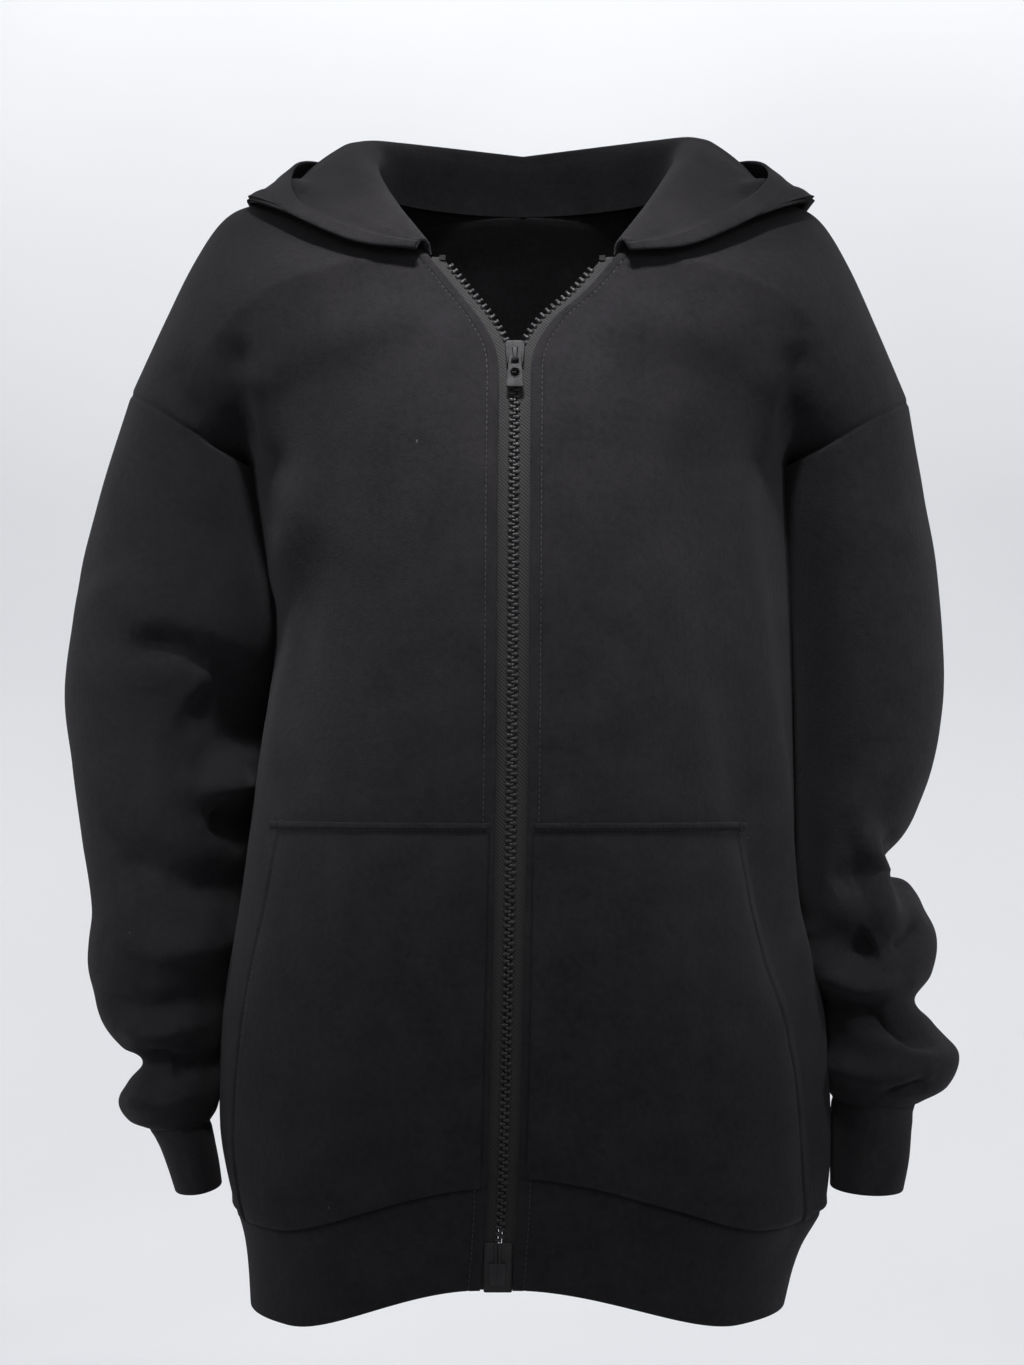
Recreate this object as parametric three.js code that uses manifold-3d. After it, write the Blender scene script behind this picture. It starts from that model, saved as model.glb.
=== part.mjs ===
// A zip-up hoodie, hollow and filled out as it is worn with the arms hanging at the sides.
// Millimetres, +Z up. The front faces -Y and the wearer's left is +X. The origin lies between
// the shoulders, at the height where they carry the garment.
import * as THREE from "three";
import { mergeVertices } from "three/addons/utils/BufferGeometryUtils.js";
import Module from "manifold-3d";

const wasm = await Module();
wasm.setup();

// Driving sizes of the cloth and its seams.
const clothThickness = 2.4;
const seamGap = 0.3;
const tapeThickness = 1;
const pocketThickness = 2.2;

// The neck's middle, seen from above, and how far the back's centre line leans to it.
const neckX = 8;
const neckY = -15;

// The panels are laid out in rows from the hem seam (height 0) to the shoulder seam (height 1).
// The underarm is at the middle row, and the zip ends at three quarters.
const underarm = 0.5;
const zipTop = 0.75;
const bandBottom = -0.14;
const rowsInPanel = 20;
const columnsInPanel = 9;
const rowsInBand = 2;

// The sleeve's stations run from the armhole (0) to the cuff seam (14) and the cuff's end (17).
const cuffSeam = 14;
const cuffEnd = 17;
const sidesOfSleeve = 16;

// The zip: tape that shows, tape sewn under the front edge, and each row of teeth.
const tapeShown = 5.4;
const tapeUnderPanel = 9;
const tapeClearance = 0.4;
const toothWidth = 3.6;
const toothDepth = 3;
const teethBottom = -0.09;
const teethTop = 0.73;
const stopHeight = 3;
const stopRise = 1.4;
const stopDrop = 0.004;

// The box that joins both halves at the bottom of the zip.
const boxHeight = -651;
const boxTopWidth = 11;
const boxBottomWidth = 9.4;
const boxLength = 14;
const boxThickness = 2.6;
const boxCorner = 1.6;

// The pockets lie on the fronts from the hem seam up to a quarter of the height.
const pocketTop = 0.25;
const pocketClearance = 2;

// The slider, the arch on it and the pull tab that hangs in the arch.
const sliderHeight = -99.5;
const sliderWidth = 12;
const sliderLength = 16;
const sliderTaper = 0.84;
const sliderCorner = 2.6;
const postWidth = 2;
const postLength = 2.4;
const postInset = 0.2;
const plateThickness = 1.7;
const plateFace = -0.4;
const archWidth = 3;
const archTop = 3.8;
const archBottom = -6.2;
const archRise = 4;
const archBand = 1.1;
const tabThickness = 1.6;
const tabBarWidth = 1.8;
const tabBarHeight = -3.5;
const tabBarRise = 1.4;
const tabLength = 18.5;
const tabTopWidth = 7.4;
const tabBottomWidth = 10.6;
const tabCorner = 1.4;
const slotWidth = 4.2;
const slotLength = 3.3;
const keyholeRadius = 2.7;
const keyholeHeight = -9.6;
const keyholeSides = 12;

const LEFT = 1;
const RIGHT = -1;

const vector = (x, y, z) => new THREE.Vector3(x, y, z);
const mix = (a, b, t) => a + (b - a) * t;
const ease = (t) => t * t * (3 - 2 * t);
const between = (a, b, x) => ease(THREE.MathUtils.clamp((x - a) / (b - a), 0, 1));
const bump = (x, centre, width) => Math.exp(-(((x - centre) / width) ** 2));

// A smooth function through rows of [key, value, value, ...], with its keys rising.
function smooth(rows) {
  const last = rows.length - 1;
  const slope = (i, k) => {
    const before = rows[Math.max(i - 1, 0)];
    const after = rows[Math.min(i + 1, last)];
    return (after[k] - before[k]) / (after[0] - before[0]);
  };
  return (key) => {
    let i = 1;
    while (i < last && key > rows[i][0]) i += 1;
    const span = rows[i][0] - rows[i - 1][0];
    const t = (key - rows[i - 1][0]) / span;
    const leave = t * (1 - t) * (1 - t) * span;
    const arrive = t * t * (t - 1) * span;
    return rows[i].slice(1).map((value, n) => {
      const start = rows[i - 1][n + 1];
      return mix(start, value, ease(t)) + leave * slope(i - 1, n + 1) + arrive * slope(i, n + 1);
    });
  };
}

// ---- the body's guide lines ------------------------------------------------------------------

// Depth of the centre front and the centre back at a height z.
const frontDepth = smooth([
  [-665, -140], [-612, -147], [-575, -153], [-500, -153], [-380, -150], [-250, -147],
  [-165, -140], [-95, -127], [-38, -108],
]);
const backDepth = smooth([
  [-665, 121], [-612, 127], [-575, 133], [-450, 125], [-300, 121], [-165, 123],
  [-95, 114], [-25, 88], [8, 68],
]);

// Half width of the body at a height z, on each side.
const sideWidth = {
  [RIGHT]: smooth([
    [-698, 165], [-650, 169], [-614, 179], [-577, 185], [-506, 183], [-436, 172], [-360, 162],
    [-252, 149], [-206, 159], [-160, 168],
  ]),
  [LEFT]: smooth([
    [-698, 172], [-655, 183], [-622, 197], [-515, 196], [-467, 187], [-434, 181], [-371, 180],
    [-232, 178], [-160, 176],
  ]),
};

// Front edge of each front panel: [height, x, z], from the band's bottom up to the top stop.
const frontEdge = {
  [RIGHT]: smooth([
    [bandBottom, -18.5, -661], [0, -14.5, -598], [0.25, -9.6, -381], [underarm, -7.8, -165],
    [0.55, -7.5, -132], [0.6, -8.3, -100], [0.65, -18, -79], [0.7, -35, -57], [zipTop, -50, -38],
  ]),
  [LEFT]: smooth([
    [bandBottom, 0.7, -661], [0, 4.7, -592], [0.25, 9.6, -381], [underarm, 11.4, -165],
    [0.55, 11.7, -132], [0.6, 13.1, -100], [0.65, 24.5, -79], [0.7, 46, -59], [zipTop, 64, -38],
  ]),
};

// Neckline: [step, x, y, z] from the top stop (0) past the neck point (5) to the centre back (10).
const neckline = {
  [RIGHT]: smooth([
    [0, -50, -108, -38], [1, -60, -90, -27], [2, -70, -69, -15], [3, -79, -46, -3], [4, -85, -24, 6],
    [5, -88, 0, 12], [6, -85, 22, 14], [7, -74, 42, 13], [8, -53, 57, 11], [9, -24, 66, 9],
    [10, 8, 69, 8],
  ]),
  [LEFT]: smooth([
    [0, 64, -108, -38], [1, 74, -90, -27], [2, 85, -69, -15], [3, 95, -46, -3], [4, 102, -24, 6],
    [5, 106, 0, 12], [6, 103, 22, 14], [7, 91, 42, 13], [8, 70, 57, 11], [9, 40, 66, 9],
    [10, 8, 69, 8],
  ]),
};

// Centre back: [height, z].
const centreBack = smooth([
  [bandBottom, -664], [0, -604], [0.25, -385], [underarm, -165], [zipTop, 8],
]);
const sideSeam = smooth([
  [bandBottom, -692], [0, -631], [0.25, -385], [underarm, -160],
]);

// Shoulder line from the neck point to the armhole: [part, share of the way out, share of the drop].
const shoulderLine = smooth([
  [0, 0, 0], [0.22, 0.3, 0.015], [0.42, 0.52, 0.05], [0.54, 0.63, 0.13], [0.68, 0.745, 0.34],
  [0.84, 0.865, 0.64], [1, 1, 1],
]);

// ---- the sleeves -----------------------------------------------------------------------------

// [station, outer x, outer z, inner x, inner z, half depth, middle y]; x is measured outwards.
const sleeveStations = {
  [RIGHT]: smooth([
    [0, 241, -115, 168, -160, 75, 0], [1, 262, -181, 160.5, -212, 77, 2], [2, 277, -247, 151, -260, 77, 6],
    [3, 285, -302, 157, -305, 75, 10], [4, 281, -347, 162.5, -347, 71, 12],
    [5, 274, -399, 169.5, -396, 67, 12],
    [6, 268, -440, 174.5, -440, 64, 10], [7, 270, -478, 181, -478, 63, 8],
    [8, 262, -510, 185.5, -507, 61, 6],
    [9, 248, -529, 187.5, -524, 56, 4], [10, 237, -539, 188.5, -537, 49, 3],
    [11, 244, -552, 188.5, -550, 52, 2],
    [12, 249, -565, 189, -561, 52, 1], [13, 243, -575, 189.5, -570, 46, 0],
    [cuffSeam, 231, -580, 191, -577, 40, -1],
    [15, 224, -590, 189, -588, 38, -2], [16, 218, -605, 186, -603, 37, -3],
    [cuffEnd, 213, -620, 184, -617, 36, -4],
  ]),
  [LEFT]: smooth([
    [0, 252, -120, 176, -160, 75, 0], [1, 261, -174, 179.5, -205, 77, 2],
    [2, 270, -232, 180.5, -250, 77, 6],
    [3, 275, -300, 181.5, -305, 75, 10], [4, 270, -347, 182.5, -350, 71, 12],
    [5, 259, -379, 183, -386, 66, 12],
    [6, 244, -413, 183.5, -416, 59, 10], [7, 257, -428, 184, -433, 63, 9], [8, 271, -458, 188, -455, 66, 8],
    [9, 268, -482, 193, -480, 64, 6], [10, 257, -499, 199, -500, 58, 4],
    [11, 271, -515, 200.5, -515, 60, 3],
    [12, 285, -533, 201, -533, 62, 2], [13, 278, -553, 201, -552, 56, 1],
    [cuffSeam, 258, -565, 204, -562, 43, -1],
    [15, 255, -578, 203, -576, 39, -2], [16, 253, -600, 203, -599, 37, -3],
    [cuffEnd, 249, -620, 203, -618, 36, -4],
  ]),
};

function sleevePoint(side, turn, station) {
  const [outX, outZ, inX, inZ, halfDepth, middleY] = sleeveStations[side](station);
  const across = Math.cos(turn * 2 * Math.PI);
  const forward = Math.sin(turn * 2 * Math.PI);
  return vector(
    side * mix(inX, outX, (1 + across) / 2),
    middleY - halfDepth * forward,
    mix(inZ, outZ, (1 + across) / 2),
  );
}

// Direction of the sleeve where it leaves the armhole, square to the armhole's plane.
function sleeveStart(side) {
  const drop = sleevePoint(side, 0.5, 0).sub(sleevePoint(side, 0, 0));
  return vector(side * Math.abs(drop.z), 0, -Math.abs(drop.x)).normalize();
}

// ---- the body --------------------------------------------------------------------------------

// Large soft folds that fall from the armholes, as a push outwards.
function bodyFold(side, isFront, across, z) {
  const below = between(-120, -200, z);
  const fade = between(-640, -560, z);
  if (!isFront) {
    return below * fade * (5 * bump(across, 0.8, 0.09) - 4 * bump(across, 0.62, 0.08));
  }
  if (side === LEFT) {
    const ridge = mix(0.56, 0.9, between(-170, -540, z));
    return below * fade * (5 * bump(across, ridge, 0.08) - 4 * bump(across, ridge - 0.16, 0.08));
  }
  const ridge = mix(0.52, 0.72, between(-160, -300, z));
  return below * between(-420, -300, z) * 4 * bump(across, ridge, 0.09);
}

// A point of a front or half back panel: across 0 is its inner edge, 1 the side seam or armhole.
function bodyPoint(side, isFront, across, height) {
  const inner = innerEdge(side, isFront, height);
  const outer = outerEdge(side, isFront, height);
  const [shoulderOut, shoulderDrop] = shoulderLine(Math.max(across, 0));
  const shoulder = between(0.62, 1, height);
  const out = mix(Math.sin((across * Math.PI) / 2), shoulderOut, shoulder * (across > 0));
  const drop = mix(1 - Math.cos((across * Math.PI) / 2), shoulderDrop, shoulder * (across > 0));
  const sag = mix(between(0, 0.6, across), drop, between(0, 0.25, height));
  const fold = bodyFold(side, isFront, across, inner.z);
  const facing = isFront ? -1 : 1;
  return vector(
    mix(inner.x, outer.x, out) + side * fold * Math.sin((across * Math.PI) / 2),
    mix(inner.y, outer.y, drop) + facing * fold * Math.cos((across * Math.PI) / 2),
    mix(inner.z, outer.z, height < underarm ? sag : drop),
  );
}

function innerEdge(side, isFront, height) {
  if (height > zipTop) {
    const step = ((height - zipTop) / (1 - zipTop)) * 5;
    const [x, y, z] = neckline[side](isFront ? step : 10 - step);
    return vector(x, y, z);
  }
  if (isFront) {
    const [x, z] = frontEdge[side](height);
    return vector(x, frontDepth(z)[0], z);
  }
  const [z] = centreBack(height);
  return vector(neckX * between(0, zipTop, height), backDepth(z)[0], z);
}

function outerEdge(side, isFront, height) {
  if (height > underarm) {
    const turn = (0.5 * (1 - height)) / (1 - underarm);
    return sleevePoint(side, isFront ? turn : 1 - turn, 0);
  }
  const [z] = sideSeam(height);
  return vector(side * sideWidth[side](z)[0], 0, z);
}

// ---- the hood --------------------------------------------------------------------------------

// The hood lies dropped: from the neckline it rises by the neck, turns over, falls into a pouch
// and comes up again to the rim of the face opening. Each row is one line along the hood, keyed
// by the neckline's steps, as offsets [x outwards, y, z] or places by side.
const hoodGuides = {
  [RIGHT]: [
    [
      [0, -51, -110, -33], [2, -70, -73, -6], [4, -84, -30, 20], [5.5, -87, 2, 36],
      [7, -80, 36, 46], [8.5, -45, 64, 44], [10, 8, 76, 38],
    ],
    [
      [0, -53, -112, -31], [2, -77, -76, -2], [4, -98, -34, 25], [5.5, -104, 8, 42],
      [7, -98, 50, 50], [8.5, -56, 84, 46], [10, 8, 95, 38],
    ],
    [
      [0, -55, -113, -32], [2, -88, -84, -14], [4, -122, -44, 4], [5.5, -134, -2, 20],
      [7, -128, 58, 18], [8.5, -68, 116, -40], [10, 8, 134, -80],
    ],
    [
      [0, -57, -114, -35], [2, -93, -90, -22], [4, -138, -50, -2], [5.5, -158, -10, 12],
      [7, -150, 78, -10], [8.5, -80, 142, -110], [10, 8, 156, -172],
    ],
    [
      [0, -58, -118, -35], [2, -96, -108, -29], [4, -143, -68, -5], [5.5, -166, -18, 8],
      [7, -157, 84, 8], [8.5, -88, 156, -60], [10, 8, 172, -90],
    ],
    [
      [0, -56, -119, -31], [2, -90, -106, -23], [4, -129, -66, -1], [5.5, -139, -16, 23],
      [7, -130, 62, 44], [8.5, -72, 118, 36], [10, 8, 138, 22],
    ],
  ],
  [LEFT]: [
    [
      [0, 65, -110, -33], [2, 84, -73, -6], [4, 99, -30, 20], [5.5, 107, 2, 37],
      [7, 104, 36, 48], [8.5, 64, 64, 45], [10, 8, 76, 38],
    ],
    [
      [0, 67, -112, -31], [2, 90, -76, -2], [4, 113, -34, 27], [5.5, 123, 8, 44],
      [7, 122, 50, 52], [8.5, 76, 84, 47], [10, 8, 95, 38],
    ],
    [
      [0, 69, -113, -32], [2, 101, -84, -14], [4, 137, -44, 4], [5.5, 155, -2, 20],
      [7, 150, 58, 18], [8.5, 88, 116, -40], [10, 8, 134, -80],
    ],
    [
      [0, 71, -114, -35], [2, 107, -90, -22], [4, 153, -50, -2], [5.5, 181, -10, 14],
      [7, 172, 78, -10], [8.5, 98, 142, -110], [10, 8, 156, -172],
    ],
    [
      [0, 72, -118, -36], [2, 110, -108, -31], [4, 158, -68, -7], [5.5, 191, -18, 8],
      [7, 180, 84, 8], [8.5, 106, 156, -60], [10, 8, 172, -90],
    ],
    [
      [0, 70, -119, -32], [2, 104, -106, -24], [4, 146, -66, 2], [5.5, 163, -16, 25],
      [7, 152, 62, 44], [8.5, 90, 118, 36], [10, 8, 138, 22],
    ],
  ],
};

function hoodPoint(side, step, part) {
  const foot = Math.floor(Math.min(step, 9.999));
  const start = neckline[side](foot);
  const end = neckline[side](foot + 1);
  const base = start.map((value, n) => mix(value, end[n], step - foot));
  const guides = hoodGuides[side].map((rows, n) => [n + 1, ...smooth(rows)(step)]);
  const [x, y, z] = smooth([[0, ...base], ...guides])(part * guides.length);
  return vector(x, y, z);
}

// ---- walls -----------------------------------------------------------------------------------

// Points and outward directions of a surface point(u, v) on a grid of us and vs.
function grid(point, us, vs, sign, settle = (p, n) => [p, n]) {
  const step = 1e-3;
  return us.map((u) =>
    vs.map((v) => {
      const alongU = point(u + step, v).sub(point(u - step, v));
      const alongV = point(u, v + step).sub(point(u, v - step));
      const normal = alongU.cross(alongV).normalize().multiplyScalar(sign);
      return settle(point(u, v), normal, u, v);
    }),
  );
}

// A closed wall from one or more grids that share edges: the grid is its outer face, moved out
// by lift, and the inner face lies a thickness further in.
function wall(grids, thickness, lift = 0) {
  const places = [];
  const found = new Map();
  const quads = [];
  const indexOf = ([point, normal]) => {
    const key = point.toArray().map((c) => Math.round(c * 1e3)).join();
    if (!found.has(key)) {
      found.set(key, places.length);
      places.push([point, normal]);
    }
    return found.get(key);
  };
  for (const cells of grids) {
    const ids = cells.map((column) => column.map(indexOf));
    const cellQuads = [];
    for (let i = 0; i + 1 < ids.length; i += 1) {
      for (let j = 0; j + 1 < ids[0].length; j += 1) {
        cellQuads.push([ids[i][j], ids[i + 1][j], ids[i + 1][j + 1], ids[i][j + 1]]);
      }
    }
    const facing = cellQuads.reduce((sum, quad) => sum + facesOut(quad, places), 0);
    quads.push(...(facing > 0 ? cellQuads : cellQuads.map((quad) => quad.toReversed())));
  }
  const outer = places.map(([p, n]) => p.clone().addScaledVector(n, lift));
  const inner = places.map(([p, n]) => p.clone().addScaledVector(n, lift - thickness));
  const triangles = quads.flatMap(([a, b, c, d]) => [[a, b, c], [a, c, d]]);
  const edges = new Map();
  for (const triangle of triangles) {
    triangle.forEach((from, n) => edges.set(`${from},${triangle[(n + 1) % 3]}`, true));
  }
  const shift = places.length;
  const faces = triangles.flatMap(([a, b, c]) => [a, b, c, c + shift, b + shift, a + shift]);
  for (const edge of edges.keys()) {
    const [from, to] = edge.split(",").map(Number);
    if (!edges.has(`${to},${from}`)) {
      faces.push(to, from, from + shift, to, from + shift, to + shift);
    }
  }
  return solid([...outer, ...inner], faces);
}

// Whether a quad's winding faces along its first point's outward direction (1) or against it (-1).
function facesOut(quad, places) {
  const [a, b, c, d] = quad.map((i) => places[i][0]);
  return Math.sign(c.clone().sub(a).cross(d.clone().sub(b)).dot(places[quad[0]][1]));
}

function solid(points, faces) {
  const geometry = new THREE.BufferGeometry();
  const positions = points.flatMap((p) => p.toArray());
  geometry.setAttribute("position", new THREE.Float32BufferAttribute(positions, 3));
  geometry.setIndex(faces);
  return geometry;
}

const steps = (from, to, count) =>
  Array.from({ length: count + 1 }, (_, i) => mix(from, to, i / count));

// ---- materials -------------------------------------------------------------------------------

const fleece = new THREE.MeshStandardMaterial({ color: 0x1d1c20, roughness: 0.95 });
const tapeCloth = new THREE.MeshStandardMaterial({ color: 0x26262a, roughness: 0.85 });
const blackPlastic = new THREE.MeshStandardMaterial({ color: 0x121214, roughness: 0.4 });
const blackMetal = new THREE.MeshStandardMaterial({ color: 0x151517, roughness: 0.3, metalness: 0.8 });

const hoodie = new THREE.Group();

function add(name, geometry, material, place = new THREE.Matrix4()) {
  const mesh = new THREE.Mesh(geometry, material);
  mesh.name = name;
  mesh.applyMatrix4(place);
  hoodie.add(mesh);
}

// ---- body panels and hem band ----------------------------------------------------------------

const panelAcross = 220;
const panelUp = 420;
const sideShare = seamGap / 2 / panelAcross;
const rowShare = seamGap / 2 / panelUp;
const besideZip = 0.045;
const secondColumn = 0.15;
const columns = [0, besideZip, ...steps(secondColumn, 1 - sideShare, columnsInPanel - 2)];
const sideName = { [RIGHT]: "right", [LEFT]: "left" };

// At the armhole a panel's edge face lies in the armhole's plane. At the shoulder and side seams
// it lies square to the depth, so the front and back meet face to face.
function settleBody(side) {
  const axis = sleeveStart(side);
  const depth = vector(0, 1, 0);
  return (point, normal, across, height) => {
    const atSide = across > 1 - 2 * sideShare;
    const atShoulder = height > 1 - 2 * rowShare;
    if (atShoulder || (atSide && height < underarm + rowShare)) normal.projectOnPlane(depth);
    else if (atSide) normal.projectOnPlane(axis);
    return [point, normal.normalize()];
  };
}

function panel(side, isFront, from, to, rows) {
  const point = (u, v) => bodyPoint(side, isFront, u, v);
  const sign = side * (isFront ? 1 : -1);
  return grid(point, columns, steps(from, to, rows), sign, settleBody(side));
}

function addBody() {
  for (const side of [RIGHT, LEFT]) {
    const panelGrid = panel(side, true, rowShare, 1 - rowShare, rowsInPanel);
    add(`front_${sideName[side]}`, wall([panelGrid], clothThickness), fleece);
    const bandGrid = panel(side, true, bandBottom, -rowShare, rowsInBand);
    add(`hem_band_front_${sideName[side]}`, wall([bandGrid], clothThickness), fleece);
  }
  const backs = [RIGHT, LEFT].map((side) => panel(side, false, rowShare, 1 - rowShare, rowsInPanel));
  add("back", wall(backs, clothThickness), fleece);
  const bands = [RIGHT, LEFT].map((side) => panel(side, false, bandBottom, -rowShare, rowsInBand));
  add("hem_band_back", wall(bands, clothThickness), fleece);
}

// ---- sleeves and cuffs -----------------------------------------------------------------------

function addSleeves() {
  const turns = steps(0, 1, sidesOfSleeve);
  const cuffShare = 0.03;
  const stations = [...steps(0, 10, 20), 11, 12, 13, cuffSeam - cuffShare];
  for (const side of [RIGHT, LEFT]) {
    const axis = sleeveStart(side);
    const point = (u, v) => sleevePoint(side, u, v);
    const settle = (p, n, u, v) => {
      if (v > 0) return [p, n];
      return [p.addScaledVector(axis, seamGap), n.projectOnPlane(axis).normalize()];
    };
    const sleeve = grid(point, turns, stations, side, settle);
    add(`sleeve_${sideName[side]}`, wall([sleeve], clothThickness), fleece);
    const cuff = grid(point, turns, steps(cuffSeam + cuffShare, cuffEnd, 3), side);
    add(`cuff_${sideName[side]}`, wall([cuff], clothThickness), fleece);
  }
}

// ---- hood ------------------------------------------------------------------------------------

function addHood() {
  const centreShare = 0.01;
  for (const side of [RIGHT, LEFT]) {
    const point = (u, v) => hoodPoint(side, u, v);
    const settle = (p, n, u, v) => {
      if (u > 9.9) n.setX(0).normalize();
      if (v > 0) return [p, n];
      const outwards = vector(p.x - neckX, p.y - neckY, 0).normalize();
      return [p.addScaledVector(outwards, -seamGap).add(vector(0, 0, clothThickness / 2)), outwards];
    };
    const cells = grid(point, steps(0, 10 - centreShare, 20), steps(0, 1, 10), side, settle);
    add(`hood_${sideName[side]}`, wall([cells], clothThickness), fleece);
  }
}

// ---- pockets ---------------------------------------------------------------------------------

// Where a pocket's slanted opening lies across the front: [height, across].
const pocketOpening = {
  [RIGHT]: smooth([[0, 0.8], [0.08, 0.755], [pocketTop, 0.67]]),
  [LEFT]: smooth([[0, 0.8], [0.08, 0.735], [pocketTop, 0.6]]),
};

function addPockets() {
  const innerShare = 0.015;
  const lift = pocketThickness + pocketClearance;
  for (const side of [RIGHT, LEFT]) {
    const point = (u, v) => {
      const [opening] = pocketOpening[side](v);
      return bodyPoint(side, true, mix(innerShare, opening, u), v);
    };
    const cells = grid(point, steps(0, 1, 9), steps(rowShare, pocketTop, 5), side);
    add(`pocket_${sideName[side]}`, wall([cells], pocketThickness, lift), fleece);
  }
}

// ---- zip -------------------------------------------------------------------------------------

// A point beside the front edge, this many millimetres across it (negative is into the opening).
function besideEdge(side, offset, height) {
  const inner = innerEdge(side, true, height);
  const outer = outerEdge(side, true, height);
  const reach = (Math.abs(outer.x - inner.x) * Math.PI) / 2;
  return bodyPoint(side, true, offset / reach, height);
}

function addTapesAndTeeth() {
  const tapeFace = -clothThickness - tapeClearance;
  const toothFace = tapeFace + (toothDepth - tapeThickness) / 2;
  const panelRows = steps(0, zipTop, 15);
  const inBand = [bandBottom, teethBottom, teethBottom / 2];
  for (const side of [RIGHT, LEFT]) {
    const point = (u, v) => besideEdge(side, u, v);
    const tape = grid(point, [-tapeShown, tapeUnderPanel], [...inBand, ...panelRows], side);
    add(`zip_tape_${sideName[side]}`, wall([tape], tapeThickness, tapeFace), tapeCloth);
    const root = -tapeShown - seamGap;
    const rows = [...inBand.slice(1), ...panelRows.slice(0, -1), teethTop];
    const teeth = grid(point, [root - toothWidth, root], rows, side);
    add(`zip_teeth_${sideName[side]}`, wall([teeth], toothDepth, toothFace), blackPlastic);
  }
}

// Frame on the zip's centre line at a height z: its y axis points into the cloth.
function zipFrame(z) {
  const middle = zipMiddle(z);
  const lean = Math.atan2(frontDepth(z + 5)[0] - frontDepth(z - 5)[0], 10);
  const place = new THREE.Matrix4().makeRotationX(-lean);
  return place.setPosition(middle, frontDepth(z)[0], z);
}

// Middle of the zip at a height z, halfway between the two front edges.
function zipMiddle(z) {
  const edgeX = (side) => {
    let low = bandBottom;
    let high = zipTop;
    for (let i = 0; i < 30; i += 1) {
      const height = (low + high) / 2;
      if (frontEdge[side](height)[1] < z) low = height;
      else high = height;
    }
    return frontEdge[side](low)[0];
  };
  return (edgeX(RIGHT) + edgeX(LEFT)) / 2;
}

// A flat plate drawn in x and z, from depth y = back towards the front by its thickness.
function plate(outline, thickness, back) {
  const flat = new THREE.ExtrudeGeometry(outline, {
    depth: thickness, bevelEnabled: false, curveSegments: 6,
  });
  return flat.rotateX(Math.PI / 2).translate(0, back, 0);
}

function roundedOutline(topWidth, bottomWidth, top, bottom, radius) {
  const corners = [
    [-topWidth / 2, top], [topWidth / 2, top], [bottomWidth / 2, bottom], [-bottomWidth / 2, bottom],
  ];
  const outline = new THREE.Shape();
  corners.forEach(([x, z], i) => {
    const [lastX, lastZ] = corners[(i + 3) % 4];
    const [nextX, nextZ] = corners[(i + 1) % 4];
    const inward = radius / Math.hypot(lastX - x, lastZ - z);
    const outward = radius / Math.hypot(nextX - x, nextZ - z);
    const start = [mix(x, lastX, inward), mix(z, lastZ, inward)];
    if (i === 0) outline.moveTo(...start);
    else outline.lineTo(...start);
    outline.quadraticCurveTo(x, z, mix(x, nextX, outward), mix(z, nextZ, outward));
  });
  outline.closePath();
  return outline;
}

function toSolid(geometry) {
  const bare = geometry.clone();
  bare.deleteAttribute("normal");
  bare.deleteAttribute("uv");
  const merged = mergeVertices(bare, 1e-4);
  return new wasm.Manifold(new wasm.Mesh({
    numProp: 3,
    vertProperties: merged.attributes.position.array,
    triVerts: new Uint32Array(merged.index.array),
  }));
}

function toGeometry(joined) {
  const { vertProperties, triVerts } = joined.getMesh();
  const geometry = new THREE.BufferGeometry();
  geometry.setAttribute("position", new THREE.BufferAttribute(vertProperties, 3));
  geometry.setIndex(new THREE.BufferAttribute(triVerts, 1));
  return geometry;
}

const union = (geometries) =>
  toGeometry(geometries.map(toSolid).reduce((sum, next) => sum.add(next)));

const cut = (base, tools) =>
  toGeometry(tools.map(toSolid).reduce((sum, tool) => sum.subtract(tool), toSolid(base)));

const box = (width, depth, height, x, y, z) =>
  new THREE.BoxGeometry(width, depth, height).translate(x, y, z);

// The arch over the slider's front plate, drawn from the side and as wide as archWidth.
function archGeometry() {
  const middle = (archTop + archBottom) / 2;
  const halfLength = (archTop - archBottom) / 2;
  const outline = new THREE.Shape();
  outline.moveTo(-halfLength, -plateThickness / 2);
  outline.lineTo(-halfLength, archRise * 0.5);
  outline.quadraticCurveTo(-halfLength, archRise, -halfLength * 0.5, archRise);
  outline.lineTo(halfLength * 0.5, archRise);
  outline.quadraticCurveTo(halfLength, archRise, halfLength, archRise * 0.5);
  outline.lineTo(halfLength, -plateThickness / 2);
  outline.lineTo(halfLength - archBand, -plateThickness / 2);
  outline.lineTo(halfLength - archBand, archRise - archBand);
  outline.lineTo(-halfLength + archBand, archRise - archBand);
  outline.lineTo(-halfLength + archBand, -plateThickness / 2);
  outline.closePath();
  const arch = new THREE.ExtrudeGeometry(outline, {
    depth: archWidth, bevelEnabled: false, curveSegments: 4,
  });
  const sideways = new THREE.Matrix4().makeBasis(vector(0, 0, 1), vector(0, -1, 0), vector(1, 0, 0));
  return arch.applyMatrix4(sideways).translate(-archWidth / 2, plateFace, middle);
}

function sliderGeometry() {
  const half = sliderLength / 2;
  const endWidth = sliderWidth * sliderTaper;
  const outline = roundedOutline(sliderWidth, endWidth, half, -half, sliderCorner);
  const front = plate(outline, plateThickness, plateFace + plateThickness);
  const backFace = clothThickness + tapeClearance + tapeThickness + toothDepth / 2;
  const back = plate(outline, plateThickness, backFace + plateThickness);
  const postDepth = backFace + plateThickness / 2;
  const postHeight = half - postInset - postLength / 2;
  const post = box(postWidth, postDepth, postLength, 0, backFace / 2, postHeight);
  return union([front, back, post, archGeometry()]);
}

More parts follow.
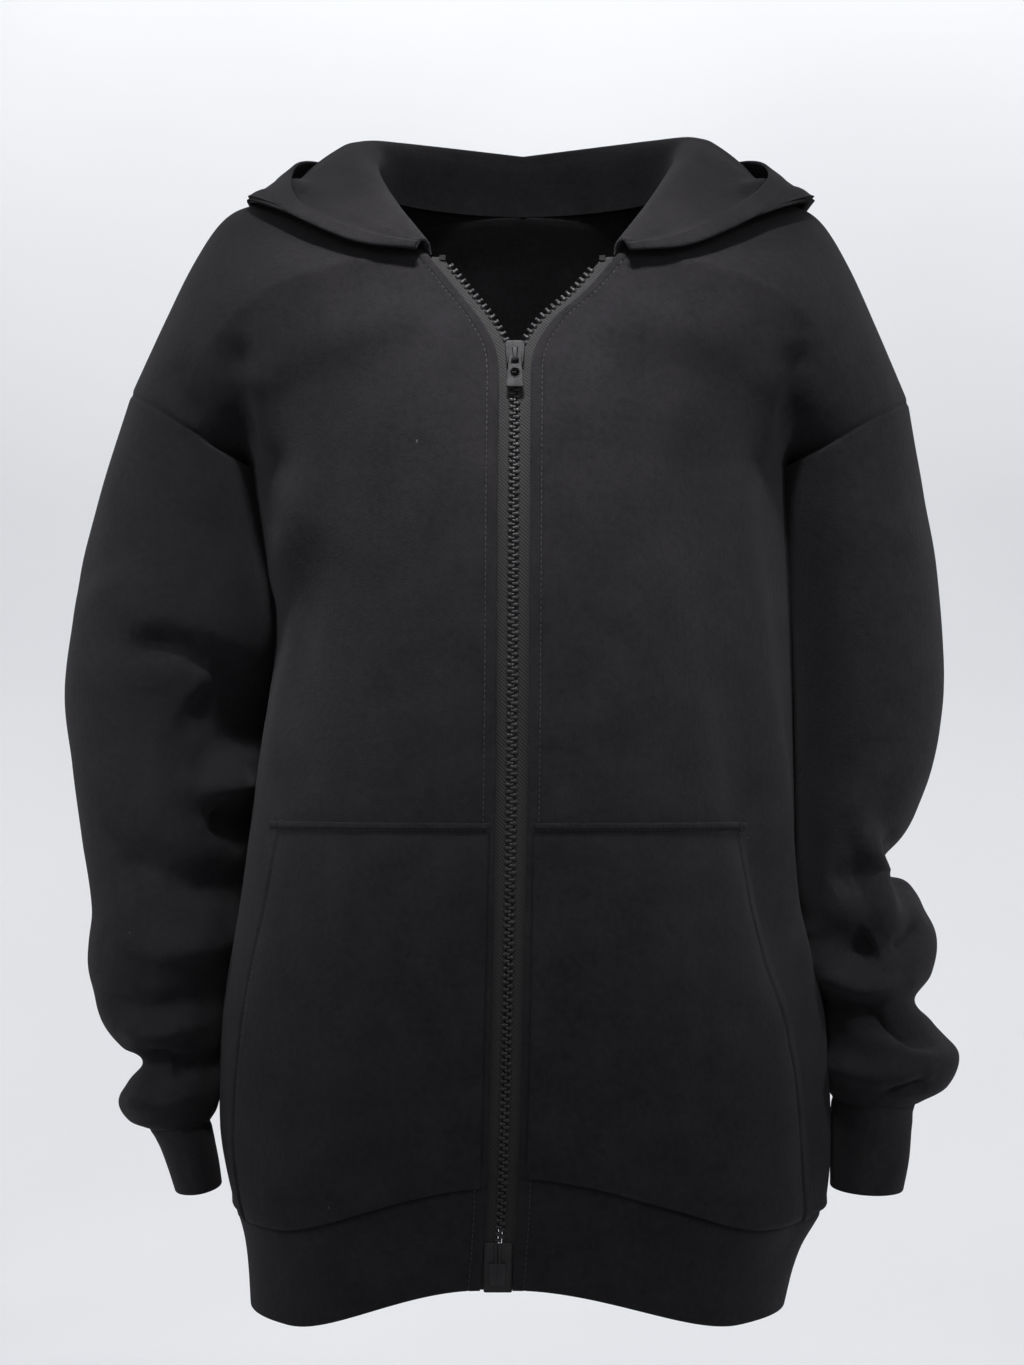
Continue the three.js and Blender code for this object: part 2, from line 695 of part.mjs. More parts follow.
function tabGeometry() {
  const top = tabBarWidth / 2;
  const outline = roundedOutline(tabTopWidth, tabBottomWidth, top, -tabLength, tabCorner);
  const tab = plate(outline, tabThickness, tabThickness / 2);
  const slot = box(slotWidth, 2 * tabThickness, slotLength, 0, 0, -top - slotLength / 2);
  const keyhole = new THREE.CylinderGeometry(
    keyholeRadius, keyholeRadius, 2 * tabThickness, keyholeSides,
  ).translate(0, 0, keyholeHeight);
  return cut(tab, [slot, keyhole]).translate(0, plateFace - tabBarRise, tabBarHeight);
}

function addSliderAndEnds() {
  const place = zipFrame(sliderHeight);
  add("zip_slider", sliderGeometry(), blackMetal, place);
  add("pull_tab", tabGeometry(), blackMetal, place);
  const halfBox = boxLength / 2;
  const boxOutline = roundedOutline(boxTopWidth, boxBottomWidth, halfBox, -halfBox, boxCorner);
  const boxBack = clothThickness + tapeClearance - seamGap;
  add("zip_box", plate(boxOutline, boxThickness, boxBack), blackPlastic, zipFrame(boxHeight));
  for (const side of [RIGHT, LEFT]) {
    const middle = besideEdge(side, -tapeShown - toothWidth / 2, zipTop - stopDrop);
    const depth = middle.y + toothDepth / 2 + stopRise;
    const stop = box(toothWidth, toothDepth, stopHeight, middle.x, depth, middle.z);
    add(`zip_stop_${sideName[side]}`, stop, blackPlastic);
  }
}

addBody();
addSleeves();
addHood();
addPockets();
addTapesAndTeeth();
addSliderAndEnds();

export default hoodie;
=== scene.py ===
"""Looks of the zip up hoodie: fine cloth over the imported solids, its creases, stitches and zip.

Every place and size below is in millimetres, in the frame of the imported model, and is turned
into metres when a mesh is made. RIGHT and LEFT are the wearer's sides.
"""
import math

import bpy
import numpy as np
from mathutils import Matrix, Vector


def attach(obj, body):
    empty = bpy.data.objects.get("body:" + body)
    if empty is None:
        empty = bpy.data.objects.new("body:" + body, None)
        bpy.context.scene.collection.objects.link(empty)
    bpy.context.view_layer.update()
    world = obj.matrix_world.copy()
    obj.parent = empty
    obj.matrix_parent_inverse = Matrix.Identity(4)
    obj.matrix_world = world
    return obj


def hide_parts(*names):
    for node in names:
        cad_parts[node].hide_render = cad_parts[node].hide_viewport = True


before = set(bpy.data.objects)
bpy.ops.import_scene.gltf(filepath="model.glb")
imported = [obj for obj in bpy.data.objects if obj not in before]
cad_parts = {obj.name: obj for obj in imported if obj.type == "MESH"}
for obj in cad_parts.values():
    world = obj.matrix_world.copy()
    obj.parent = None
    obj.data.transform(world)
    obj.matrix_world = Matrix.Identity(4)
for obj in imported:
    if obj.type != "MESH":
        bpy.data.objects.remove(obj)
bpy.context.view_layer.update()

MM = 0.001
RIGHT = -1
LEFT = 1
SIDES = {RIGHT: "right", LEFT: "left"}

# Cloth and seams.
CLOTH = 2.4
POCKET_CLOTH = 2.2
SEAM_DIP = 0.9
SEAM_REACH = 1.9

# Rows run from the hem seam (0) to the shoulder seam (1).
UNDERARM = 0.5
ZIP_TOP = 0.75
BAND_BOTTOM = -0.14
POCKET_TOP = 0.25
CUFF_SEAM = 14
CUFF_END = 17
NECK_X = 8
NECK_Y = -15
HOOD_SEAM_DROP = 1.7
ARM_PRESS = 3.2
ARMPIT_PRESS = 8.0
SLEEVE_CREASE_DEPTH = 1.75
BODY_CREASE_DEPTH = 1.7
ARMHOLE_FOOT = -159.5

# Doubled cloth, the grooves of its stitches, and slack cloth, as heights; where the hem swells.
EDGE_FOLD = 0.5
EDGE_GROOVE = 0.55
RIM_FOLD = 0.7
RIM_GROOVE = 0.5
POCKET_TOP_FOLD = 2.5
POCKET_SIDE_FOLD = 1.2
POCKET_TOP_GROOVE = 1.1
POCKET_SIDE_GROOVE = 0.9
POCKET_SLACK = 1.6
HEM_SWELL = 1.5
HEM_SWELL_FROM_SEAM = 5
HEM_SWELL_REACH = 3.5

# The zip.
TAPE_UNDER = 9
TAPE_WOVEN = 8.3
TAPE_LIFT = -2.8
TOOTH_PITCH = 4.2
TOOTH_TOP = 0.735
TOOTH_SIDES = 8
TOOTH_BOTTOM = -633
SLIDER_HEIGHT = -99.5
SLIDER_SIZE = (12, 16)
SLIDER_PLATE = 1.7
TAB_HINGE = (0, -1.8, -3.5)
KEYHOLE_DROP = 9.6
FILM_CENTRE = -647
PIN_OFFSET = 1.15
BOX_CENTRE = -651
CORNER_POINTS = 6

# Topstitching.
EDGE_STITCH = 7
POCKET_TOP_STITCH = 4.6
POCKET_SIDE_STITCH = 11
RIM_STITCH = 14
STITCH_LENGTH = 2.7
STITCH_PITCH = 3.5
STITCH_RADIUS = 0.32
STITCH_SINK = 0.05
STITCH_SIDES = 6

# The picture: width seen at the zip, and the camera's distance from it.
VIEW_WIDTH = 614.4
VIEW_DISTANCE = 2100
SENSOR = 36


def ease(t):
    return t * t * (3 - 2 * t)


def between(a, b, x):
    return ease(np.clip((x - a) / (b - a), 0, 1))


def bump(x, centre, width):
    return np.exp(-(((x - centre) / width) ** 2))


def smooth(rows):
    """A smooth function through rows of (key, value, ...), with its keys rising."""
    table = np.array(rows, float)
    keys, values = table[:, 0], table[:, 1:]
    places = np.arange(len(keys))
    before = np.maximum(places - 1, 0)
    after = np.minimum(places + 1, len(keys) - 1)
    slopes = (values[after] - values[before]) / (keys[after] - keys[before])[:, None]

    def at(key):
        key = np.asarray(key, float)
        i = np.clip(np.searchsorted(keys, key), 1, len(keys) - 1)
        span = (keys[i] - keys[i - 1])[..., None]
        t = (key - keys[i - 1])[..., None] / span
        bend = slopes[i - 1] * t * (1 - t) ** 2 + slopes[i] * t * t * (t - 1)
        return values[i - 1] + (values[i] - values[i - 1]) * ease(t) + bend * span

    return at


# ---- the garment's guide lines, as in the solids ---------------------------------------------

front_depth = smooth([
    (-665, -140), (-612, -147), (-575, -153), (-500, -153), (-380, -150), (-250, -147),
    (-165, -140), (-95, -127), (-38, -108),
])
back_depth = smooth([
    (-665, 121), (-612, 127), (-575, 133), (-450, 125), (-300, 121), (-165, 123),
    (-95, 114), (-25, 88), (8, 68),
])
side_width = {
    RIGHT: smooth([
        (-698, 165), (-650, 169), (-614, 179), (-577, 185), (-506, 183), (-436, 172),
        (-360, 162), (-252, 149), (-206, 159), (-160, 168),
    ]),
    LEFT: smooth([
        (-698, 172), (-655, 183), (-622, 197), (-515, 196), (-467, 187), (-434, 181),
        (-371, 180), (-232, 178), (-160, 176),
    ]),
}
front_edge = {
    RIGHT: smooth([
        (BAND_BOTTOM, -18.5, -661), (0, -14.5, -598), (0.25, -9.6, -381), (UNDERARM, -7.8, -165),
        (0.55, -7.5, -132), (0.6, -8.3, -100), (0.65, -18, -79), (0.7, -35, -57),
        (ZIP_TOP, -50, -38),
    ]),
    LEFT: smooth([
        (BAND_BOTTOM, 0.7, -661), (0, 4.7, -592), (0.25, 9.6, -381), (UNDERARM, 11.4, -165),
        (0.55, 11.7, -132), (0.6, 13.1, -100), (0.65, 24.5, -79), (0.7, 46, -59),
        (ZIP_TOP, 64, -38),
    ]),
}
neckline = {
    RIGHT: smooth([
        (0, -50, -108, -38), (1, -60, -90, -27), (2, -70, -69, -15), (3, -79, -46, -3),
        (4, -85, -24, 6), (5, -88, 0, 12), (6, -85, 22, 14), (7, -74, 42, 13), (8, -53, 57, 11),
        (9, -24, 66, 9), (10, 8, 69, 8),
    ]),
    LEFT: smooth([
        (0, 64, -108, -38), (1, 74, -90, -27), (2, 85, -69, -15), (3, 95, -46, -3),
        (4, 102, -24, 6), (5, 106, 0, 12), (6, 103, 22, 14), (7, 91, 42, 13), (8, 70, 57, 11),
        (9, 40, 66, 9), (10, 8, 69, 8),
    ]),
}
centre_back = smooth([
    (BAND_BOTTOM, -664), (0, -604), (0.25, -385), (UNDERARM, -165), (ZIP_TOP, 8),
])
side_seam = smooth([(BAND_BOTTOM, -692), (0, -631), (0.25, -385), (UNDERARM, -160)])
shoulder_line = smooth([
    (0, 0, 0), (0.22, 0.3, 0.015), (0.42, 0.52, 0.05), (0.54, 0.63, 0.13), (0.68, 0.745, 0.34),
    (0.84, 0.865, 0.64), (1, 1, 1),
])
# (station, outer x, outer z, inner x, inner z, half depth, middle y); x is measured outwards.
sleeve_stations = {
    RIGHT: smooth([
        (0, 241, -115, 168, -160, 75, 0), (1, 262, -181, 160.5, -212, 77, 2),
        (2, 277, -247, 151, -260, 77, 6), (3, 285, -302, 157, -305, 75, 10),
        (4, 281, -347, 162.5, -347, 71, 12), (5, 274, -399, 169.5, -396, 67, 12),
        (6, 268, -440, 174.5, -440, 64, 10), (7, 270, -478, 181, -478, 63, 8),
        (8, 262, -510, 185.5, -507, 61, 6), (9, 248, -529, 187.5, -524, 56, 4),
        (10, 237, -539, 188.5, -537, 49, 3), (11, 244, -552, 188.5, -550, 52, 2),
        (12, 249, -565, 189, -561, 52, 1), (13, 243, -575, 189.5, -570, 46, 0),
        (CUFF_SEAM, 231, -580, 191, -577, 40, -1), (15, 224, -590, 189, -588, 38, -2),
        (16, 218, -605, 186, -603, 37, -3), (CUFF_END, 213, -620, 184, -617, 36, -4),
    ]),
    LEFT: smooth([
        (0, 252, -120, 176, -160, 75, 0), (1, 261, -174, 179.5, -205, 77, 2),
        (2, 270, -232, 180.5, -250, 77, 6), (3, 275, -300, 181.5, -305, 75, 10),
        (4, 270, -347, 182.5, -350, 71, 12), (5, 259, -379, 183, -386, 66, 12),
        (6, 244, -413, 183.5, -416, 59, 10), (7, 257, -428, 184, -433, 63, 9),
        (8, 271, -458, 188, -455, 66, 8), (9, 268, -482, 193, -480, 64, 6),
        (10, 257, -499, 199, -500, 58, 4), (11, 271, -515, 200.5, -515, 60, 3),
        (12, 285, -533, 201, -533, 62, 2), (13, 278, -553, 201, -552, 56, 1),
        (CUFF_SEAM, 258, -565, 204, -562, 43, -1), (15, 255, -578, 203, -576, 39, -2),
        (16, 253, -600, 203, -599, 37, -3), (CUFF_END, 249, -620, 203, -618, 36, -4),
    ]),
}
# Lines along the hood, from the fold by the neck, through the pouch, to the rim, by neckline step.
hood_guides = {
    RIGHT: [
        [(0, -51, -110, -33), (2, -70, -73, -6), (4, -84, -30, 20), (5.5, -87, 2, 36),
         (7, -80, 36, 46), (8.5, -45, 64, 44), (10, 8, 76, 38)],
        [(0, -53, -112, -31), (2, -77, -76, -2), (4, -98, -34, 25), (5.5, -104, 8, 42),
         (7, -98, 50, 50), (8.5, -56, 84, 46), (10, 8, 95, 38)],
        [(0, -55, -113, -32), (2, -88, -84, -14), (4, -122, -44, 4), (5.5, -134, -2, 20),
         (7, -128, 58, 18), (8.5, -68, 116, -40), (10, 8, 134, -80)],
        [(0, -57, -114, -35), (2, -93, -90, -22), (4, -138, -50, -2), (5.5, -158, -10, 12),
         (7, -150, 78, -10), (8.5, -80, 142, -110), (10, 8, 156, -172)],
        [(0, -58, -118, -35), (2, -96, -108, -29), (4, -143, -68, -5), (5.5, -166, -18, 8),
         (7, -157, 84, 8), (8.5, -88, 156, -60), (10, 8, 172, -90)],
        [(0, -56, -119, -31), (2, -90, -106, -23), (4, -129, -66, -1), (5.5, -139, -16, 23),
         (7, -130, 62, 44), (8.5, -72, 118, 36), (10, 8, 138, 22)],
    ],
    LEFT: [
        [(0, 65, -110, -33), (2, 84, -73, -6), (4, 99, -30, 20), (5.5, 107, 2, 37),
         (7, 104, 36, 48), (8.5, 64, 64, 45), (10, 8, 76, 38)],
        [(0, 67, -112, -31), (2, 90, -76, -2), (4, 113, -34, 27), (5.5, 123, 8, 44),
         (7, 122, 50, 52), (8.5, 76, 84, 47), (10, 8, 95, 38)],
        [(0, 69, -113, -32), (2, 101, -84, -14), (4, 137, -44, 4), (5.5, 155, -2, 20),
         (7, 150, 58, 18), (8.5, 88, 116, -40), (10, 8, 134, -80)],
        [(0, 71, -114, -35), (2, 107, -90, -22), (4, 153, -50, -2), (5.5, 181, -10, 14),
         (7, 172, 78, -10), (8.5, 98, 142, -110), (10, 8, 156, -172)],
        [(0, 72, -118, -36), (2, 110, -108, -31), (4, 158, -68, -7), (5.5, 191, -18, 8),
         (7, 180, 84, 8), (8.5, 106, 156, -60), (10, 8, 172, -90)],
        [(0, 70, -119, -32), (2, 104, -106, -24), (4, 146, -66, 2), (5.5, 163, -16, 25),
         (7, 152, 62, 44), (8.5, 90, 118, 36), (10, 8, 138, 22)],
    ],
}


def sleeve_point(side, turn, station):
    out_x, out_z, in_x, in_z, half_depth, middle_y = np.moveaxis(sleeve_stations[side](station), -1, 0)
    outwards = (1 + np.cos(turn * 2 * math.pi)) / 2
    forward = np.sin(turn * 2 * math.pi)
    return np.stack([
        side * (in_x + (out_x - in_x) * outwards),
        middle_y - half_depth * forward,
        in_z + (out_z - in_z) * outwards,
    ], -1)


def inner_edge(side, is_front, height):
    """The zip edge or centre back, and above it the neckline."""
    step = np.clip((height - ZIP_TOP) / (1 - ZIP_TOP), 0, 1) * 5
    neck = neckline[side](step if is_front else 10 - step)
    if is_front:
        x, z = np.moveaxis(front_edge[side](height), -1, 0)
        below = np.stack([x, front_depth(z)[..., 0], z], -1)
    else:
        z = centre_back(height)[..., 0]
        below = np.stack([8 * between(0, ZIP_TOP, height), back_depth(z)[..., 0], z], -1)
    return np.where((height > ZIP_TOP)[..., None], neck, below)


def outer_edge(side, is_front, height):
    """The side seam, and above the underarm the armhole."""
    turn = 0.5 * (1 - height) / (1 - UNDERARM)
    armhole = sleeve_point(side, turn if is_front else 1 - turn, np.zeros_like(height))
    z = side_seam(height)[..., 0]
    seam = np.stack([side * side_width[side](z)[..., 0], np.zeros_like(z), z], -1)
    return np.where((height > UNDERARM)[..., None], armhole, seam)


def body_fold(side, is_front, across, z):
    """Large soft folds that fall from the armholes, as a push outwards."""
    below = between(-120, -200, z)
    fade = between(-640, -560, z)
    if not is_front:
        return below * fade * (5 * bump(across, 0.8, 0.09) - 4 * bump(across, 0.62, 0.08))
    if side == LEFT:
        ridge = 0.56 + 0.34 * between(-170, -540, z)
        return below * fade * (5 * bump(across, ridge, 0.08) - 4 * bump(across, ridge - 0.16, 0.08))
    ridge = 0.52 + 0.2 * between(-160, -300, z)
    return below * between(-420, -300, z) * 4 * bump(across, ridge, 0.09)


def body_point(side, is_front, across, height):
    """A point of a front or half back: across 0 is its inner edge, 1 the side seam or armhole."""
    inner = inner_edge(side, is_front, height)
    outer = outer_edge(side, is_front, height)
    line = shoulder_line(np.maximum(across, 0))
    shoulder = between(0.62, 1, height) * (across > 0)
    sine = np.sin(across * math.pi / 2)
    cosine = np.cos(across * math.pi / 2)
    out = sine + (line[..., 0] - sine) * shoulder
    drop = 1 - cosine + (line[..., 1] - 1 + cosine) * shoulder
    dip = between(0, 0.6, across)
    sag = np.where(height < UNDERARM, dip + (drop - dip) * between(0, 0.25, height), drop)
    fold = body_fold(side, is_front, across, inner[..., 2])
    facing = -1 if is_front else 1
    return np.stack([
        inner[..., 0] + (outer[..., 0] - inner[..., 0]) * out + side * fold * sine,
        inner[..., 1] + (outer[..., 1] - inner[..., 1]) * drop + facing * fold * cosine,
        inner[..., 2] + (outer[..., 2] - inner[..., 2]) * sag,
    ], -1)


def hood_point(side, step, part):
    """A point of the hood: part 0 is the neckline seam and 1 the rim of the face opening."""
    base = neckline[side](step) + np.array([0, 0, CLOTH / 2])
    knots = np.stack([base] + [smooth(rows)(step) for rows in hood_guides[side]], -2)
    last = knots.shape[-2] - 1
    key = np.clip(part, 0, 1) * last
    i = np.clip(np.floor(key).astype(int), 0, last - 1)
    t = (key - i)[..., None]

    def knot(index):
        return np.take_along_axis(knots, np.clip(index, 0, last)[..., None, None], -2)[..., 0, :]

    start, end = knot(i), knot(i + 1)
    leave = (end - knot(i - 1)) / np.where(i == 0, 1, 2)[..., None]
    arrive = (knot(i + 2) - start) / np.where(i == last - 1, 1, 2)[..., None]
    return start + (end - start) * ease(t) + leave * t * (1 - t) ** 2 + arrive * t * t * (t - 1)


def beside_edge(side, offset, height):
    """A point beside the front edge, this many millimetres across (negative: into the opening)."""
    inner = inner_edge(side, True, height)
    outer = outer_edge(side, True, height)
    reach = np.abs(outer[..., 0] - inner[..., 0]) * math.pi / 2
    return body_point(side, True, offset / reach, height)


# ---- creases, placed in millimetres ----------------------------------------------------------

def creases(x, z, lines):
    """Soft ridges (positive height) and troughs along listed lines, by distance in x and z."""
    push = np.zeros_like(x)
    for points, width, height in lines:
        points = np.array(points, float)
        lengths = np.hypot(*np.diff(points, axis=0).T)
        total = lengths.sum()
        nearest = np.full(x.shape, 1e9)
        along = np.zeros_like(x)
        run = 0.0
        for (ax, az), (bx, bz), length in zip(points[:-1], points[1:], lengths):
            t = np.clip(((x - ax) * (bx - ax) + (z - az) * (bz - az)) / length ** 2, 0, 1)
            away = np.hypot(x - ax - t * (bx - ax), z - az - t * (bz - az))
            along = np.where(away < nearest, (run + t * length) / total, along)
            nearest = np.minimum(nearest, away)
            run += length
        taper = ease(np.clip(along / 0.3, 0, 1)) * ease(np.clip((1 - along) / 0.3, 0, 1))
        push += height * (0.25 + 0.75 * taper) * np.exp(-((nearest / width) ** 2))
    return push


# (line of (outward x, z), width, height) on the front of each sleeve.
SLEEVE_FRONT = {
    RIGHT: [
        ([(255, -225), (240, -250), (220, -274)], 22, 4),
        ([(238, -270), (198, -278), (176, -289), (158, -308)], 9, -6),
        ([(195, -300), (172, -325), (165, -350)], 22, -9),
        ([(198, -362), (180, -364), (160, -360)], 8, 5),
        ([(190, -380), (172, -385), (160, -392)], 10, -6),
        ([(252, -402), (215, -420), (165, -434)], 15, -6),
        ([(255, -458), (220, -466), (180, -462)], 10, 5),
        ([(262, -492), (225, -500), (190, -496)], 9, -4),
        ([(246, -512), (220, -516), (196, -512)], 7, 4),
        ([(238, -536), (212, -534), (192, -540)], 8, -6),
        ([(246, -560), (222, -560), (196, -556)], 6, 3),
    ],
    LEFT: [
        ([(240, -180), (248, -260), (250, -330)], 22, 3),
        ([(216, -378), (229, -411), (236, -456)], 8, 5),
        ([(232, -385), (244, -412), (250, -440)], 9, -4),
        ([(264, -445), (250, -456), (234, -464)], 7, -6),
        ([(192, -456), (200, -480), (218, -487), (248, -483)], 7, 5),
        ([(206, -458), (216, -464), (226, -458)], 11, -8),
        ([(196, -500), (229, -506), (254, -517), (276, -523)], 7, -8),
        ([(198, -538), (228, -542), (258, -540)], 8, 5),
        ([(228, -556), (244, -549), (262, -546)], 5, -4),
        ([(200, -428), (214, -420), (226, -426)], 9, -4),
    ],
}
# The same on the back of each sleeve.
SLEEVE_BACK = {
    RIGHT: [
        ([(265, -262), (225, -282), (180, -290)], 12, -6),
        ([(262, -300), (225, -318), (185, -322)], 12, 5),
        ([(266, -345), (225, -352), (185, -345)], 11, -6),
        ([(260, -400), (225, -415), (190, -410)], 12, 4),
        ([(262, -448), (230, -452), (195, -446)], 9, -5),
        ([(258, -500), (230, -497), (200, -503)], 8, -5),
        ([(240, -538), (215, -536), (196, -540)], 7, -5),
    ],
    LEFT: [
        ([(265, -262), (230, -280), (195, -286)], 12, -6),
        ([(265, -305), (235, -320), (200, -322)], 12, 5),
        ([(262, -350), (230, -362), (195, -358)], 11, -6),
        ([(255, -410), (225, -418), (198, -412)], 9, -5),
        ([(262, -455), (235, -462), (205, -455)], 9, 4),
        ([(258, -500), (232, -505), (206, -500)], 7, -6),
        ([(270, -545), (240, -550), (208, -544)], 7, -4),
    ],
}
# (line of (x, z), width, height) on the fronts, and on the back.
BODY_FRONT = [
    ([(-170, -80), (-168, -120), (-160, -160)], 10, -5),
    ([(-152, -92), (-150, -130), (-144, -170)], 14, 3),
    ([(-131, -160), (-133, -200), (-148, -255)], 12, 3),
    ([(-118, -190), (-126, -250), (-140, -310)], 14, -2),
    ([(-212, -95), (-205, -118), (-190, -140)], 9, -2),
    ([(178, -85), (173, -118), (170, -150)], 10, -5),
    ([(158, -95), (156, -135), (150, -175)], 14, 3),
    ([(60, -250), (50, -285), (42, -320)], 12, -1.5),
    ([(74, -240), (66, -285), (60, -330)], 13, 1.2),
    ([(132, -330), (150, -420), (168, -520)], 12, -3),
    ([(-60, -560), (-100, -575), (-140, -600)], 12, 2),
    ([(60, -560), (100, -575), (150, -600)], 12, 2),
    ([(-90, -600), (-120, -608), (-150, -612)], 8, -2),
    ([(90, -604), (120, -612), (160, -612)], 8, -2),
    ([(-60, -70), (-95, -84), (-130, -92)], 16, 2),
    ([(75, -70), (110, -84), (145, -92)], 16, 2),
]
BODY_BACK = [
    ([(-150, -120), (-138, -200), (-120, -300)], 16, -5),
    ([(150, -120), (140, -200), (125, -300)], 16, -5),
    ([(-110, -150), (-95, -260), (-80, -360)], 20, 3),
    ([(112, -150), (96, -250), (84, -340)], 20, 3),
    ([(-140, -420), (-70, -450), (0, -440)], 16, -3),
    ([(140, -440), (80, -470), (20, -462)], 16, -3),
    ([(-130, -520), (-60, -545), (10, -535), (90, -550)], 15, -3),
    ([(-90, -590), (0, -584), (100, -592)], 12, 2.5),
]
# (line of (neckline step x 20, share of the hood x 200), width, height) on each half of the hood.
HOOD = [
    ([(150, 60), (168, 100), (180, 150)], 9, 4),
    ([(126, 70), (140, 110), (150, 150)], 8, -4),
    ([(110, 150), (130, 140), (150, 135)], 7, 4),
    ([(176, 120), (184, 150), (190, 176)], 6, -3),
    ([(84, 96), (100, 104), (118, 110)], 6, -3),
]


def sleeve_push(side, point):
    x, y, z = np.moveaxis(point, -1, 0)
    middle_y = 4
    on_front = between(18, -18, y - middle_y)
    front = SLEEVE_CREASE_DEPTH * creases(side * x, z, SLEEVE_FRONT[side])
    back = SLEEVE_CREASE_DEPTH * creases(side * x, z, SLEEVE_BACK[side])
    return front * on_front + back * (1 - on_front)


def body_push(is_front, point):
    x, _, z = np.moveaxis(point, -1, 0)
    return BODY_CREASE_DEPTH * creases(x, z, BODY_FRONT if is_front else BODY_BACK)


# ---- meshes ----------------------------------------------------------------------------------

def spaced(start, end, length, step, fine_start=(), fine_end=()):
    """Keys from start to end over a length in mm, with extra ones at distances from both ends."""
    places = np.linspace(0, length, max(2, round(length / step)) + 1)
    extra = [d for d in fine_start] + [length - d for d in fine_end]
    places = np.unique(np.round(np.concatenate([places, extra]), 3))
    keep = [places[0]]
    for place in places[1:]:
        near_extra = any(abs(place - d) < 1e-3 for d in extra)
        if place - keep[-1] > 0.2 or near_extra or place == places[-1]:
            keep.append(place)
    return start + (end - start) * np.array(keep) / length


EDGE_STEPS = (0.15, 0.4, 0.8, 1.3, 2, 3, 4.5)


def stitch_steps(place):
    """Close keys beside a line of stitches, so that its groove is round."""
    return tuple(place + d for d in (-1.8, -1, -0.4, 0, 0.4, 1, 1.8))


def normals_of(points, closed):
    """Unit directions square to a grid of points."""
    if closed:
        wrapped = np.concatenate([points[-2:-1], points, points[1:2]])
        along_u = (wrapped[2:] - wrapped[:-2])
    else:
        along_u = np.gradient(points, axis=0)
    along_v = np.gradient(points, axis=1)
    normal = np.cross(along_u, along_v)
    return normal / np.maximum(np.linalg.norm(normal, axis=-1, keepdims=True), 1e-9)


def edge_distances(points):
    """Distances along the grid from its four edges: first u, last u, first v, last v."""
    du = np.linalg.norm(np.diff(points, axis=0), axis=-1)
    dv = np.linalg.norm(np.diff(points, axis=1), axis=-1)
    from_u = np.concatenate([np.zeros((1, points.shape[1])), np.cumsum(du, 0)])
    from_v = np.concatenate([np.zeros((points.shape[0], 1)), np.cumsum(dv, 1)], 1)
    return from_u, from_u[-1:] - from_u, from_v, from_v[:, -1:] - from_v


def profile(distances, edges, thickness):
    """Half thickness outwards and inwards, with rounded free edges and dipped seams."""
    outer = np.full(distances[0].shape, thickness / 2)
    inner = outer.copy()
    for distance, edge in zip(distances, edges):
        if edge == "round":
            t = np.clip(distance / (thickness * 0.6), 0, 1)
            rounding = np.sqrt(np.maximum(1 - (1 - t) ** 2, 0.0004))
            outer = outer * rounding
            inner = inner * rounding
        elif edge == "seam":
            outer = outer - SEAM_DIP * bump(distance, 0, SEAM_REACH)
    return outer, inner


def object_from(name, mesh, material):
    """A smooth-shaded object in the scene, of one material."""
    mesh.polygons.foreach_set("use_smooth", [True] * len(mesh.polygons))
    mesh.materials.clear()
    mesh.materials.append(material)
    mesh.update()
    piece = bpy.data.objects.new(name, mesh)
    bpy.context.scene.collection.objects.link(piece)
    return piece


def new_object(name, vertices, faces, material):
    """A mesh object from points in millimetres and lists of the points of each face."""
    mesh = bpy.data.meshes.new(name)
    mesh.from_pydata((np.asarray(vertices) * MM).tolist(), [], faces)
    return object_from(name, mesh, material)


def shell_mesh(points, normals, outer, inner, closed, start_open):
    """Vertices and quads of a thin shell around a grid, left open at its start to weld there."""
    columns, rows = points.shape[:2]
    if closed:
        points, normals, outer, inner = points[:-1], normals[:-1], outer[:-1], inner[:-1]
        columns -= 1
    front = points + normals * outer[..., None]
    back = points - normals * inner[..., None]
    ids = np.arange(columns * rows).reshape(columns, rows)
    shift = columns * rows
    across = np.concatenate([ids, ids[:1]]) if closed else ids
    a, b = across[:-1, :-1], across[1:, :-1]
    c, d = across[1:, 1:], across[:-1, 1:]
    quads = np.stack([a, b, c, d], -1).reshape(-1, 4)
    sides = []
    for row, turned in ((0, False), (-1, True)):
        start, end = across[:-1, row], across[1:, row]
        sides.append(rim_quads(start, end, shift, turned))
    if not closed:
        sides.append(rim_quads(ids[-1, :-1], ids[-1, 1:], shift, False))
        if not start_open:
            sides.append(rim_quads(ids[0, :-1], ids[0, 1:], shift, True))
    faces = np.concatenate([quads, quads[:, ::-1] + shift] + sides)
    vertices = np.concatenate([front.reshape(-1, 3), back.reshape(-1, 3)])
    return vertices, faces


def rim_quads(start, end, shift, turned):
    quads = np.stack([start, start + shift, end + shift, end], -1)
    return quads[:, ::-1] if turned else quads


def settled(points, closed, sign, settle):
    """Outward directions of a grid, turned along its edges by settle."""
    normals = normals_of(points, closed) * sign
    if settle is not None:
        settle(normals, points)
        normals /= np.linalg.norm(normals, axis=-1, keepdims=True)
    return normals


def cloth_piece(name, base, us, vs, sign, material, thickness=CLOTH, push=None,
                edges=("seam",) * 4, closed=False, lift=0.0, relief=None, settle=None):
    """A thin shell on base(u, v): pushed by creases, then by relief(distances) near its edges."""
    u, v = np.meshgrid(us, vs, indexing="ij")
    points = base(u, v)
    normals = settled(points, closed, sign, settle)
    if push is not None:
        points = points + normals * push(points)[..., None]
        normals = settled(points, closed, sign, settle)
    distances = edge_distances(points)
    outer, inner = profile(distances, edges, thickness)
    raised = relief(distances) if relief is not None else 0
    middle = points + normals * np.asarray(lift + raised - thickness / 2)[..., None]
    vertices, faces = shell_mesh(middle, normals, outer, inner, closed, edges[0] == "")
    if sign < 0:
        faces = faces[:, ::-1]
    return new_object(name, vertices, faces.tolist(), material)


# ---- materials -------------------------------------------------------------------------------

